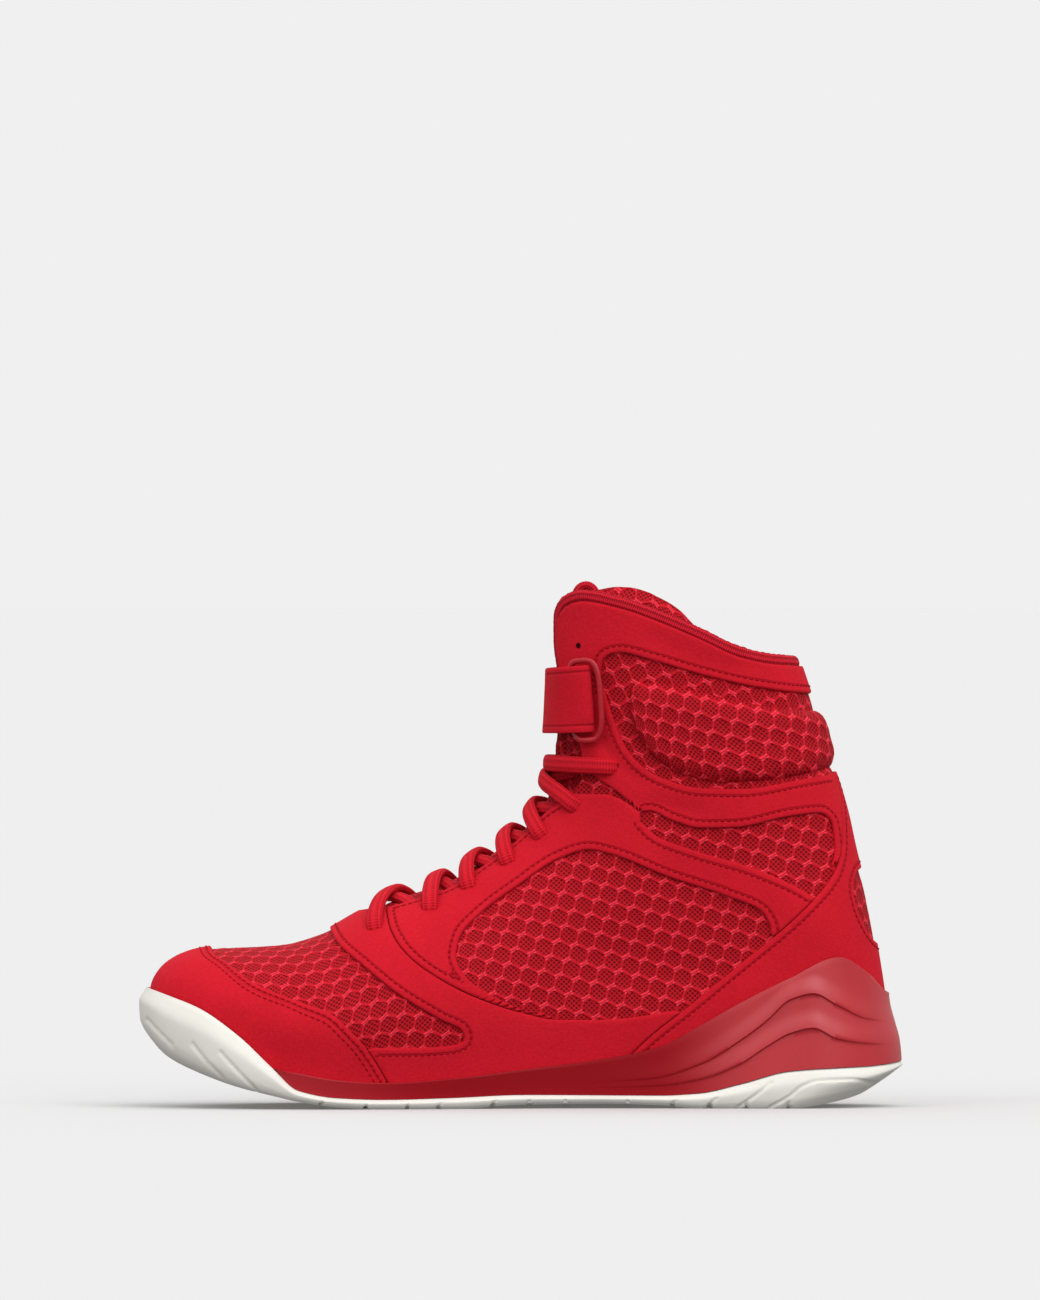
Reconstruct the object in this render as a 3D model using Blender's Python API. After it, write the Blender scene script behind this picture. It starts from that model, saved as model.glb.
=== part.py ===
"""High-top boxing shoe for the right foot, standing empty on its sole.

The scene is in metres. The tables and named sizes below are in millimetres, in the shoe's own
frame: +X towards the toe, +Y towards the inner side of the foot, +Z up, with the origin on the
floor under the middle of the sole. One function gives the form of the last, and every piece of
the upper is cut or offset from it.
"""

import math
from collections import namedtuple

import bmesh
import bpy
import numpy as np
from mathutils import Matrix, Vector

MM = 0.001

# Driving sizes
WALL = 2.2
OVERLAY = 1.2
GAP = 0.4
SOLE_CLEARANCE = 1.0
INSOLE_THICKNESS = 3.0
STRAP_WIDTH = 25.5
STRAP_THICKNESS = 1.6
RING_BAR = 1.9
LACE_WIDTH = 6.6
LACE_THICKNESS = 2.4
BINDING_RADIUS = 1.7
BINDING_FOOT = 165.0
PAD_LIFT = 4.2
PAD_CLEARANCE = 1.0
PAD_EDGE = 0.4
SIDE_COLUMNS = 20
SIDE_ROWS = 10
SOLE_COLUMNS = 28
CUTTER_REACH = 90.0

# Plan of the last: half width of the upper and how far its middle line swings to the inner side
Plan = namedtuple("Plan", "x half_width swing")
PLAN = [
    Plan(-148, 32.5, 1.2),
    Plan(-100, 32.5, 0.7),
    Plan(-60, 31.5, -1.3),
    Plan(-20, 33.5, -3.3),
    Plan(20, 40.5, -3.3),
    Plan(50, 46.0, -1.8),
    Plan(72, 46.5, -0.3),
    Plan(100, 45.0, 3.2),
    Plan(148, 41.0, 10.2),
]

# Side view of the sole: heights of the tread, the rubber's top edge, the foam's top edge, the footbed
Sole = namedtuple("Sole", "x tread rubber_top foam_top footbed")
SOLE = [
    Sole(-148, 14.0, 17.8, 43.0, 22.5),
    Sole(-143, 10.5, 17.0, 44.0, 22.5),
    Sole(-134.5, 6.2, 16.2, 52.0, 22.5),
    Sole(-123, 2.8, 15.7, 58.5, 22.3),
    Sole(-104, 0.0, 14.4, 50.5, 21.8),
    Sole(-85, 0.0, 9.5, 41.0, 20.8),
    Sole(-69, 0.0, 5.8, 32.0, 19.3),
    Sole(-54, 1.2, 4.9, 24.0, 17.3),
    Sole(-31, 1.8, 5.0, 19.0, 14.2),
    Sole(0, 1.5, 5.2, 15.0, 10.8),
    Sole(26, 0.0, 4.2, 11.8, 9.0),
    Sole(53, 0.0, 3.6, 10.2, 8.5),
    Sole(70, 0.7, 4.2, 11.2, 9.4),
    Sole(86, 3.0, 7.2, 14.0, 11.6),
    Sole(96, 5.3, 16.0, 16.2, 13.6),
    Sole(109, 8.5, 28.3, 28.3, 17.0),
    Sole(124.5, 14.0, 39.0, 39.0, 22.5),
    Sole(136, 19.5, 43.5, 43.5, 27.0),
    Sole(148, 30.0, 47.5, 47.5, 32.5),
]
FOAM_FRONT = 91.0
RISE_STATIONS = [FOAM_FRONT, 86.0, 80.0]

# Flex grooves across the tread
FLEX_GROOVES = [77, 60, 44, 32, 11, -3, -17, -41, -58.5, -73, -87, -103]
GROOVE_WIDTH = 1.8
GROOVE_DEPTH = 1.6
GROOVE_OVERRUN = 6.0

# Rings of the rubber's outside from the tread up: its ends, how far it stands out, its share of the edge
Edge = namedtuple("Edge", "toe heel spread share")
RUBBER_EDGE = [
    Edge(136.0, -133.0, 0.8, 0.0),
    Edge(143.5, -143.0, 4.0, 0.28),
    Edge(148.0, -148.0, 5.2, 0.62),
    Edge(145.2, -147.2, 4.6, 1.0),
]
FOOTBED_DROP = 0.5

# Stepped waves of the foam's side: the heights of its two creases, and how deep they are cut
Wave = namedtuple("Wave", "x low high depth")
WAVES = [
    Wave(-148, 24.5, 33.5, 0.8),
    Wave(-134, 25.0, 34.5, 0.8),
    Wave(-122, 27.0, 40.0, 0.9),
    Wave(-113, 31.0, 44.3, 1.0),
    Wave(-104, 29.0, 42.0, 1.0),
    Wave(-95, 24.0, 34.0, 1.0),
    Wave(-85, 17.5, 26.5, 0.9),
    Wave(-70, 11.5, 17.5, 0.7),
    Wave(-50, 8.5, 11.5, 0.3),
    Wave(-20, 8.0, 10.0, 0.0),
    Wave(96, 12.0, 13.0, 0.0),
]

# Each crease has a recessed line below it and a proud line above it
Rib = namedtuple("Rib", "wave shift inset spread")
RIBS = [
    Rib("low", -0.5, 2.6, 3.0),
    Rib("low", 0.5, 1.4, 4.0),
    Rib("high", -0.5, 4.6, 2.9),
    Rib("high", 0.5, 3.4, 3.9),
]
RIB_ROOM = 0.08
FOAM_SIDE = 3.8
FOAM_FOOT = 4.4
FOAM_RIM = 3.2
FOAM_FOOT_INSET = 0.6
FOAM_RIM_INSET = 5.2
FOAM_PLUG_INSET = 6.2
ROOM_FLOOR_INSET = 5.0
ROOM_RIM_INSET = 7.0
ROOM_OVERRUN = 3.0
INSOLE_TOE = 138.6
INSOLE_HEEL = -141.9
INSOLE_MARGIN = 1.0
SOLE_TOE = 148.0
SOLE_HEEL = -148.0

# The last's end profiles: where the toe and the heel stand at each height, and how deep they round off
Profile = namedtuple("Profile", "z x rounding")
TOE = [
    Profile(20, 141.8, 56),
    Profile(31, 142.4, 56),
    Profile(41, 142.8, 54),
    Profile(47.5, 141.8, 50),
    Profile(53, 138.6, 44),
    Profile(57, 133.4, 36),
    Profile(59.7, 126.5, 30),
    Profile(61.2, 119.0, 26),
]
HEEL = [
    Profile(18, -142.2, 36),
    Profile(37, -140.6, 36),
    Profile(58, -137.6, 36),
    Profile(80, -133.6, 37),
    Profile(101, -128.4, 40),
    Profile(113, -125.8, 42),
    Profile(123, -123.0, 43),
    Profile(129, -121.0, 44),
    Profile(134, -118.2, 44),
    Profile(142, -115.4, 45),
    Profile(154, -113.0, 46),
    Profile(171, -107.6, 46),
]
LAST_TOE = max(row.x for row in TOE)
LAST_HEEL = HEEL[0].x

# Ridge of the last from over the toe, up the instep and the front of the ankle
Ridge = namedtuple("Ridge", "x z rounding")
RIDGE = [
    Ridge(156, 61.2, 30),
    Ridge(122, 61.2, 30),
    Ridge(109, 61.4, 33),
    Ridge(93.5, 62.3, 37),
    Ridge(78, 66.3, 42),
    Ridge(61.7, 74.9, 47),
    Ridge(47, 81.5, 50),
    Ridge(28.7, 87.7, 54),
    Ridge(13.2, 97.4, 56),
    Ridge(-0.8, 108.3, 56),
    Ridge(-7.4, 116.4, 54),
    Ridge(-11.3, 124.5, 52),
    Ridge(-12.8, 134.2, 48),
    Ridge(-12.4, 146.0, 46),
    Ridge(-11.3, 161.4, 44),
    Ridge(-10.1, 177.0, 43),
    Ridge(-9.7, 196.0, 42),
    Ridge(-10.1, 210.0, 42),
]

# Edge of the upper: from the foot of the throat up the lacing edge, round the collar to the heel
Point = namedtuple("Point", "x z")
VAMP_POINT = Point(61.7, 74.9)
THROAT = [
    VAMP_POINT,
    Point(54.7, 75.9),
    Point(47.0, 77.6),
    Point(37.2, 80.7),
    Point(28.7, 83.4),
    Point(13.2, 93.1),
    Point(-0.8, 104.0),
    Point(-10.1, 113.3),
    Point(-19.8, 121.4),
    Point(-24.4, 129.6),
    Point(-24.0, 137.4),
    Point(-21.7, 146.0),
    Point(-18.2, 157.5),
    Point(-15.9, 169.2),
    Point(-14.7, 179.0),
    Point(-14.7, 188.0),
    Point(-17.5, 193.6),
    Point(-24.1, 196.0),
    Point(-38.4, 193.2),
    Point(-53.9, 187.8),
    Point(-69.5, 181.2),
    Point(-85.0, 174.2),
    Point(-96.6, 171.5),
    Point(-107.7, 170.5),
]

# How the upper's columns fan out: shares of the sole line and of the rim that each column joins
Fan = namedtuple("Fan", "column sole rim")
FAN = [
    Fan(0.0, 0.0, 0.0),
    Fan(0.30, 0.38, 0.24),
    Fan(0.46, 0.58, 0.385),
    Fan(0.55, 0.73, 0.455),
    Fan(0.62, 0.775, 0.55),
    Fan(0.73, 0.82, 0.70),
    Fan(1.0, 1.0, 1.0),
]

# Edges of the overlays in the side view
CAP_EDGE = [
    Point(121.4, 66.0),
    Point(119.1, 59.0),
    Point(113.7, 55.5),
    Point(103.2, 48.0),
    Point(85.7, 41.0),
    Point(74.1, 37.0),
    Point(65.6, 30.0),
    Point(59.4, 23.0),
    Point(50.4, 8.0),
]
SADDLE_FRONT = [
    Point(75.5, 72.0),
    Point(71.0, 63.6),
    Point(61.7, 55.5),
    Point(46.9, 43.8),
    Point(31.4, 34.5),
    Point(22.5, 29.5),
    Point(22.1, 26.8),
    Point(25.6, 24.8),
    Point(41.1, 23.7),
    Point(56.0, 23.7),
]
STAY_SEAM = [
    Point(53.0, 84.0),
    Point(50.8, 70.2),
    Point(47.7, 63.6),
    Point(42.3, 57.4),
    Point(31.4, 49.7),
    Point(15.9, 42.3),
    Point(0.4, 37.2),
    Point(-15.1, 34.3),
    Point(-30.7, 34.3),
    Point(-46.2, 35.7),
    Point(-62.0, 38.6),
]
QUARTER_WINDOW = [
    Point(-13.0, 36.0),
    Point(-3.5, 37.8),
    Point(10.1, 43.1),
    Point(21.0, 50.4),
    Point(25.2, 58.5),
    Point(23.7, 65.6),
    Point(15.9, 74.5),
    Point(0.4, 86.1),
    Point(-15.1, 96.2),
    Point(-26.8, 99.7),
    Point(-34.5, 98.2),
    Point(-57.8, 89.2),
    Point(-81.1, 81.5),
    Point(-93.5, 75.7),
    Point(-96.6, 68.7),
    Point(-94.0, 65.5),
]
COUNTER_EDGE = [
    Point(-36.0, 14.0),
    Point(-50.1, 27.9),
    Point(-65.6, 40.0),
    Point(-85.0, 55.9),
    Point(-104.4, 72.2),
    Point(-112.9, 80.7),
    Point(-118.3, 86.9),
    Point(-121.8, 93.5),
    Point(-123.4, 103.2),
    Point(-123.0, 118.7),
    Point(-120.2, 129.0),
]
HEEL_WINDOW = [
    Point(-133.0, 93.5),
    Point(-129.0, 90.5),
    Point(-127.6, 84.5),
    Point(-128.8, 78.0),
    Point(-131.5, 71.0),
    Point(-135.0, 65.0),
    Point(-140.0, 61.0),
]
ANKLE_FLOOR = [
    Point(-112.5, 81.4),
    Point(-106.3, 85.4),
    Point(-88.9, 93.1),
    Point(-65.6, 100.1),
    Point(-52.0, 105.5),
    Point(-46.4, 111.0),
]
COLLAR_SEAM = [
    Point(-46.6, 114.0),
    Point(-42.3, 117.2),
    Point(-37.6, 119.9),
    Point(-32.6, 121.3),
    Point(-15.0, 121.3),
]
ANKLE_ROOF = [
    Point(-47.0, 114.5),
    Point(-50.1, 114.8),
    Point(-57.8, 111.4),
    Point(-69.5, 108.3),
    Point(-83.0, 108.6),
    Point(-104.4, 112.9),
    Point(-115.0, 113.9),
    Point(-120.0, 109.5),
    Point(-121.0, 99.0),
    Point(-119.4, 93.0),
]
COLLAR_NOTCH = [
    Point(-10.0, 135.0),
    Point(-24.1, 135.0),
    Point(-26.8, 131.1),
    Point(-31.0, 126.9),
    Point(-36.1, 123.4),
    Point(-42.0, 118.6),
]
PAD_FLOOR = [
    Point(-118.0, 128.4),
    Point(-108.3, 126.9),
    Point(-85.0, 123.4),
    Point(-69.5, 123.8),
    Point(-53.9, 128.0),
    Point(-43.1, 136.2),
    Point(-36.9, 148.2),
    Point(-33.4, 158.7),
    Point(-31.2, 168.0),
    Point(-32.3, 174.0),
    Point(-38.4, 176.2),
    Point(-50.1, 173.4),
    Point(-69.5, 167.6),
    Point(-88.9, 163.0),
    Point(-104.4, 160.6),
    Point(-120.0, 159.2),
]

# Corners beyond the last that close the outlines, and heights and places where outlines end
CAP_OUTSIDE = [Point(150, 66)]
SADDLE_OUTSIDE = [Point(62, 90)]
STAY_OUTSIDE = [Point(-5, 135), Point(58, 100)]
FRAME_OUTSIDE = [Point(-125, 159), Point(-125, 205), Point(5, 205), Point(5, 135)]
COUNTER_OUTSIDE = [Point(-150, 129)]
HEEL_WINDOW_OUTSIDE = [Point(-150, 61), Point(-150, 93.5)]
CAP_FOOT = 10.8
FOOT_MARGIN = 0.7
SEAM_MARGIN = 0.2
COUNTER_FOOT = -41.0
STAY_TIP = -12.0
STAY_BACK_LOW = 66.0
STAY_BACK_HIGH = 80.0
FRAME_BACK = 95.0
STAY_MIDDLE = 0.02

# Puffed pad round the back of the ankle: its lower and upper edge at each place along the side
Pad = namedtuple("Pad", "x low high")
PAD_HALF_COLUMNS = 9
PAD_ROWS = 6
PAD = [
    Pad(-118, 131.4, 153.6),
    Pad(-108, 129.2, 154.4),
    Pad(-93, 126.8, 156.6),
    Pad(-77, 125.8, 160.0),
    Pad(-65, 127.8, 162.8),
    Pad(-54, 133.4, 164.6),
    Pad(-47, 141.6, 164.8),
    Pad(-42, 152.0, 162.0),
]

# Lacing holes on each side, from the toe up
EYELETS = [
    Point(56.3, 67.5),
    Point(35.3, 74.9),
    Point(19.8, 83.4),
    Point(4.3, 93.1),
    Point(-8.9, 103.6),
    Point(-22.9, 115.2),
    Point(-38.0, 131.5),
]

# How far the laces lie over the last, from where each stretch leaves its hole to where it tucks in
LACE_RISE = GAP + OVERLAY + LACE_THICKNESS / 2 + 1.8
OVER_LIFTS = [LACE_RISE, LACE_RISE + 0.3, LACE_RISE + 0.5, LACE_RISE + 0.6, LACE_RISE, 1.6]
UNDER_LIFTS = [LACE_RISE, LACE_RISE + 0.1, LACE_RISE, LACE_RISE, LACE_RISE - 0.4, 1.6]
BAR_LIFTS = [LACE_RISE + lift for lift in (0.4, 0.4, 1.0, 1.8, 2.0, 1.8, 1.0, 0.4, 0.4)]
TUCK_PLACE = 0.9
TUCK_BACK = 5.2
TUCK_BACK_TOP = 10.0

# Tongue: how far its face lies under the ridge's form, and how far down the sides it reaches
Tongue = namedtuple("Tongue", "run sink reach thickness")
TONGUE_FOOT = Point(66.0, 72.7)
TONGUE_TOP = 197.5
TONGUE = [
    Tongue(0.0, 3.4, 6.0, 4.0),
    Tongue(0.1, 3.4, 9.0, 5.0),
    Tongue(0.4, 3.4, 14.0, 5.0),
    Tongue(0.6, 3.6, 22.0, 5.0),
    Tongue(0.75, 4.8, 34.0, 6.5),
    Tongue(0.9, 7.8, 48.0, 9.0),
    Tongue(1.0, 9.6, 53.0, 10.5),
]
TONGUE_CROWN = 2.2
TONGUE_CROWN_DEPTH = 4.0
TONGUE_CROWN_START = 0.05
TONGUE_EDGE_THINNING = 0.55
TONGUE_ROWS = 13
TONGUE_HALF_COLUMNS = 4

# The tongue's top edge dips or rises with the depth behind its front
Crest = namedtuple("Crest", "depth drop")
TONGUE_CREST = [
    Crest(0, 0.0),
    Crest(14, -1.0),
    Crest(26, -3.0),
    Crest(38, 2.0),
    Crest(54, 13.0),
]

# Strap route round the front of the ankle. Place is the square root of the depth behind the ridge,
# positive on the inner side. Lift is the height of the strap's middle over the last.
Strap = namedtuple("Strap", "place lift")
STRAP = [
    Strap(-4.6, 3.2),
    Strap(-3.4, 3.2),
    Strap(-2.2, 3.1),
    Strap(-1.1, 1.4),
    Strap(0.0, 0.4),
    Strap(1.1, 1.4),
    Strap(2.2, 2.9),
    Strap(3.2, 2.9),
    Strap(3.75, 2.9),
    Strap(4.1, 3.6),
    Strap(4.2, 5.2),
    Strap(4.05, 6.8),
    Strap(3.7, 7.4),
    Strap(3.1, 7.2),
    Strap(2.2, 5.6),
    Strap(1.1, 3.8),
    Strap(0.0, 2.6),
    Strap(-1.1, 3.7),
    Strap(-2.2, 5.4),
    Strap(-3.4, 5.5),
    Strap(-5.2, 5.5),
]
STRAP_HEIGHT = 157.5

# Ring on the inner side: its corners as place and height, its bar's middle over the last
RING_CENTRE = Point(3.95, 157.0)
RING_HALF_PLACE = 0.66
RING_HALF_HEIGHT = 15.2
RING_LIFT = 5.1
RING_SQUARENESS = 0.55
RING_POINTS = 20

# Pull loop on the tongue's top
LOOP_CENTRE = Point(-25.4, 198.6)
LOOP_MIDDLE = -1.5
LOOP_HALF_LENGTH = 5.6
LOOP_HEIGHT = 5.4
LOOP_WIDTH = 12.0
LOOP_THICKNESS = 1.3


def read(table, column, at):
    """Value of a table's column on a smooth curve without overshoot, at places of its first column."""
    place = np.array([row[0] for row in table], float)
    value = np.array([getattr(row, column) for row in table], float)
    step = np.diff(place)
    rise = np.diff(value) / step
    slope = np.concatenate([rise[:1], np.zeros(len(step) - 1), rise[-1:]])
    for i in range(1, len(step)):
        if rise[i - 1] * rise[i] > 0:
            before = 2 * step[i] + step[i - 1]
            after = step[i] + 2 * step[i - 1]
            slope[i] = (before + after) / (before / rise[i - 1] + after / rise[i])
    at = np.clip(np.asarray(at, float), place[0], place[-1])
    i = np.clip(np.searchsorted(place, at, side="right") - 1, 0, len(step) - 1)
    u = (at - place[i]) / step[i]
    held = value[i] * (1 + 2 * u) * (1 - u) ** 2 + value[i + 1] * (3 - 2 * u) * u**2
    return held + step[i] * (slope[i] * u * (1 - u) ** 2 - slope[i + 1] * (1 - u) * u**2)


Station = namedtuple("Station", "run x z")


def trace(points, spacing=3.0):
    """Smooth open line through side-view points, as points about the spacing apart."""
    x = np.array([point.x for point in points], float)
    z = np.array([point.z for point in points], float)
    run = np.concatenate([[0], np.cumsum(np.hypot(np.diff(x), np.diff(z)))])
    stations = [Station(*row) for row in zip(run, x, z)]
    at = np.linspace(0, run[-1], max(2, round(run[-1] / spacing) + 1))
    return np.stack([read(stations, "x", at), read(stations, "z", at)], axis=1)


def along(line, share):
    """Points at shares of a line's length."""
    run = np.concatenate([[0], np.cumsum(np.linalg.norm(np.diff(line, axis=0), axis=1))])
    at = np.asarray(share) * run[-1]
    return np.stack([np.interp(at, run, line[:, i]) for i in range(line.shape[1])], axis=-1)


def shifted(line, distance):
    """A side-view line moved square to itself, to the left of its run when the distance is positive."""
    run = np.gradient(line, axis=0)
    run /= np.linalg.norm(run, axis=1)[:, None]
    return line + distance * np.stack([-run[:, 1], run[:, 0]], axis=1)


def rounded(share):
    """Quarter circle from 0 at the edge to 1 at full depth."""
    return np.sqrt(1 - (1 - np.clip(share, 0, 1)) ** 2)


RIDGE_LINE = trace([Point(row.x, row.z) for row in RIDGE], 2.0)
RIDGE_RUN = np.concatenate([[0], np.cumsum(np.linalg.norm(np.diff(RIDGE_LINE, axis=0), axis=1))])


def ridge_rounding(run):
    """Depth over which the last rounds off under the ridge, at runs along it."""
    x, z = np.moveaxis(along(RIDGE_LINE, np.asarray(run) / RIDGE_RUN[-1]), -1, 0)
    high = z > VAMP_POINT.z
    toe_side = np.interp(-x, [-row.x for row in RIDGE[:9]], [row.rounding for row in RIDGE[:9]])
    shin_side = np.interp(z, [row.z for row in RIDGE[5:]], [row.rounding for row in RIDGE[5:]])
    return np.where(high, shin_side, toe_side)


def under_ridge(x, z):
    """Run along the ridge and depth under it of side-view points."""
    here = np.stack([np.ravel(x), np.ravel(z)], axis=1)[:, None, :]
    start = RIDGE_LINE[:-1][None]
    span = np.diff(RIDGE_LINE, axis=0)[None]
    share = np.clip(((here - start) * span).sum(2) / (span**2).sum(2), 0, 1)
    offset = here - (start + share[..., None] * span)
    distance = np.linalg.norm(offset, axis=2)
    nearest = distance.argmin(axis=1)
    rows = np.arange(len(nearest))
    side = span[0, nearest, 0] * offset[rows, nearest, 1] - span[0, nearest, 1] * offset[rows, nearest, 0]
    depth = np.where(side > 0, distance[rows, nearest], 0.0)
    run = RIDGE_RUN[nearest] + share[rows, nearest] * np.linalg.norm(span[0, nearest], axis=1)
    return run.reshape(np.shape(x)), depth.reshape(np.shape(x))


def half_width(x, z):
    """Half width of the last at side-view points: full at the sides, rounded off at ridge, toe and heel."""
    run, depth = under_ridge(x, z)
    nose = rounded((read(TOE, "x", z) - x) / read(TOE, "rounding", z))
    heel = rounded((x - read(HEEL, "x", z)) / read(HEEL, "rounding", z))
    roof = rounded(depth / ridge_rounding(run))
    return read(PLAN, "half_width", x) * nose * heel * roof


def on_last(x, z, side):
    """Points of the last's surface: side is 1 on the inner side, -1 on the outer, 0 on the middle line."""
    x, z, side = np.broadcast_arrays(x, z, side)
    y = read(PLAN, "swing", x) + side * half_width(x, z)
    return np.stack([x, y, z], axis=-1)


def over_front(run, place):
    """Points of the last by run along the ridge and signed square root of the depth under it."""
    run, place = np.broadcast_arrays(np.asarray(run, float), np.asarray(place, float))
    share = run / RIDGE_RUN[-1]
    ridge = along(RIDGE_LINE, share)
    ahead = along(RIDGE_LINE, np.clip(share + 0.004, 0, 1)) - along(RIDGE_LINE, np.clip(share - 0.004, 0, 1))
    ahead /= np.linalg.norm(ahead, axis=-1)[..., None]
    inward = np.stack([-ahead[..., 1], ahead[..., 0]], axis=-1)
    at = ridge + inward * (place**2)[..., None]
    return on_last(at[..., 0], at[..., 1], np.sign(place))


def normals_over_front(run, place):
    """Outward directions of the last at the same places."""
    small_run, small_place = 1.0, 0.06
    by_run = over_front(run + small_run, place) - over_front(run - small_run, place)
    by_place = over_front(run, place + small_place) - over_front(run, place - small_place)
    square = np.cross(by_place, by_run)
    return square / np.linalg.norm(square, axis=-1)[..., None]


def run_at_height(z):
    """Run along the ridge where it passes a height on the front of the ankle."""
    shin = RIDGE_LINE[:, 1] > VAMP_POINT.z
    return np.interp(z, RIDGE_LINE[shin, 1], RIDGE_RUN[shin])


def normals(grid, closed):
    """Outward unit directions of a grid of points, rows going up and columns going round."""
    up = np.gradient(grid, axis=0)
    if closed:
        ring = (np.roll(grid, -1, axis=1) - np.roll(grid, 1, axis=1)) / 2
    else:
        ring = np.gradient(grid, axis=1)
    out = np.cross(ring, up)
    return out / np.linalg.norm(out, axis=2)[..., None]


def make_material(name, colour, roughness, metallic=0.0):
    """A plain material in the part's own colour."""
    material = bpy.data.materials.new(name)
    material.use_nodes = True
    shader = material.node_tree.nodes["Principled BSDF"]
    shader.inputs["Base Color"].default_value = (*colour, 1.0)
    shader.inputs["Roughness"].default_value = roughness
    shader.inputs["Metallic"].default_value = metallic
    return material


def make_object(name, points, faces, material=None):
    """A mesh object from points in millimetres. Without a material it is a cutter, which isn't rendered."""
    bm = bmesh.new()
    corners = [bm.verts.new(point) for point in np.asarray(points).reshape(-1, 3) * MM]
    for face in faces:
        bm.faces.new([corners[i] for i in face])
    bmesh.ops.remove_doubles(bm, verts=bm.verts, dist=1e-7)
    bmesh.ops.dissolve_degenerate(bm, edges=bm.edges, dist=1e-7)
    bmesh.ops.recalc_face_normals(bm, faces=bm.faces)
    mesh = bpy.data.meshes.new(name)
    bm.to_mesh(mesh)
    bm.free()
    piece = bpy.data.objects.new(name, mesh)
    if material:
        mesh.materials.append(material)
        mesh.shade_smooth()
        mesh.set_sharp_from_angle(angle=math.radians(35))
        PARTS.objects.link(piece)
    else:
        link_cutter(piece)
    return piece


def link_cutter(piece):
    """Puts a cutter in its collection, shown as wire and not rendered."""
    piece.hide_render = True
    piece.display_type = "WIRE"
    CUTTERS.objects.link(piece)
    return piece


def grid_faces(rows, columns, closed, first=0):
    """Triangles of a grid of points stored row by row, mirrored between its two halves."""
    faces = []
    for i in range(rows - 1):
        for j in range(columns if closed else columns - 1):
            a, b = first + i * columns + j, first + i * columns + (j + 1) % columns
            c, d = b + columns, a + columns
            faces += [[a, b, c], [a, c, d]] if j < columns / 2 else [[a, b, d], [b, c, d]]
    return faces


def make_shell(name, outer, inner, closed, material=None):
    """A wall between two grids of points, closed along every edge."""
    rows, columns = outer.shape[:2]
    size = rows * columns
    faces = grid_faces(rows, columns, closed) + grid_faces(rows, columns, closed, size)
    for i in (0, rows - 1):
        for j in range(columns if closed else columns - 1):
            a, b = i * columns + j, i * columns + (j + 1) % columns
            faces.append([a, b, size + b, size + a])
    if not closed:
        for j in (0, columns - 1):
            for i in range(rows - 1):
                a, b = i * columns + j, (i + 1) * columns + j
                faces.append([a, b, size + b, size + a])
    points = np.concatenate([outer.reshape(-1, 3), inner.reshape(-1, 3)])
    return make_object(name, points, faces, material)


def make_loft(name, rings, material=None):
    """A solid through closed rings of points, with rungs from side to side across its two ends."""
    rings = np.asarray(rings)
    rows, columns = rings.shape[:2]
    faces = grid_faces(rows, columns, True)
    for first in (0, (rows - 1) * columns):
        for j in range(columns // 2 - 1):
            faces.append([first + j, first + j + 1, first + columns - 2 - j, first + columns - 1 - j])
    return make_object(name, rings, faces, material)


def make_prism(name, outline, sides=(-1, 1)):
    """A cutter with a side-view outline, across the whole shoe or on one side of its middle."""
    near, far = min(sides) * CUTTER_REACH, max(sides) * CUTTER_REACH
    count = len(outline)
    points = [(x, y, z) for y in (near, far) for x, z in outline]
    faces = [list(range(count)), list(range(count, 2 * count))]
    for i in range(count):
        k = (i + 1) % count
        faces.append([i, k, count + k, count + i])
    return make_object(name, points, faces)


def cut(piece, cutter, operation="DIFFERENCE", solver="EXACT"):
    """A Boolean of a piece with a cutter."""
    change = piece.modifiers.new(cutter.name, "BOOLEAN")
    change.operation = operation
    change.solver = solver
    change.object = cutter


def last_grid(columns, rows):
    """The upper's surface as rows from the sole to the rim and columns round from the toe by the heel."""
    toe_z = float(read(SOLE, "footbed", 142.0)) + GAP
    heel_z = float(read(SOLE, "footbed", -142.0)) + GAP
    rim = trace(THROAT, 1.5)
    nose_z = np.linspace(toe_z, TOE[-1].z, 30)
    nose = np.stack([read(TOE, "x", nose_z), nose_z], axis=1)
    over = RIDGE_LINE[(RIDGE_LINE[:, 0] < TOE[-1].x - 1) & (RIDGE_LINE[:, 0] > VAMP_POINT.x + 1)]
    front = np.concatenate([nose, over, rim[:1]])
    back_z = np.linspace(heel_z, rim[-1, 1], 40)
    back = np.stack([read(HEEL, "x", back_z), back_z], axis=1)
    rim[-1] = back[-1]
    feather_x = np.linspace(front[0, 0], back[0, 0], 60)
    feather = np.stack([feather_x, read(SOLE, "footbed", feather_x) + GAP], axis=1)
    feather[0], feather[-1] = front[0], back[0]
    s = (1 - np.cos(np.pi * np.linspace(0, 1, columns + 1))) / 2
    t = np.linspace(0, 1, rows + 1)
    across, up = s[None, :, None], t[:, None, None]
    low, high = along(feather, read(FAN, "sole", s)), along(rim, read(FAN, "rim", s))
    ruled = (1 - up) * low[None] + up * high[None]
    swept = (1 - across) * along(front, t)[:, None] + across * along(back, t)[:, None]
    corners = ((1 - up) * ((1 - across) * front[0] + across * back[0])
               + up * ((1 - across) * rim[0] + across * rim[-1]))
    view = ruled + swept - corners
    side = np.ones(columns + 1)
    side[[0, -1]] = 0
    inner_side = on_last(view[..., 0], view[..., 1], side)
    outer_side = on_last(view[..., 0], view[..., 1], -side)
    return np.concatenate([inner_side, outer_side[:, -2:0:-1]], axis=1)


def sole_x(toe, heel, from_foam=False):
    """Places along the sole from the toe end, or the foam's front, to the heel, close at round ends."""
    share = (1 + np.cos(np.linspace(0, np.pi, SOLE_COLUMNS + 1))) / 2
    nominal = SOLE[0].x + (SOLE[-1].x - SOLE[0].x) * share
    ahead = [] if from_foam else list((heel + (toe - heel) * share)[nominal > FOAM_FRONT + 3])
    behind = list((heel + (toe - heel) * share)[nominal < RISE_STATIONS[-1] - 3])
    return np.array(ahead + RISE_STATIONS + behind)


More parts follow.
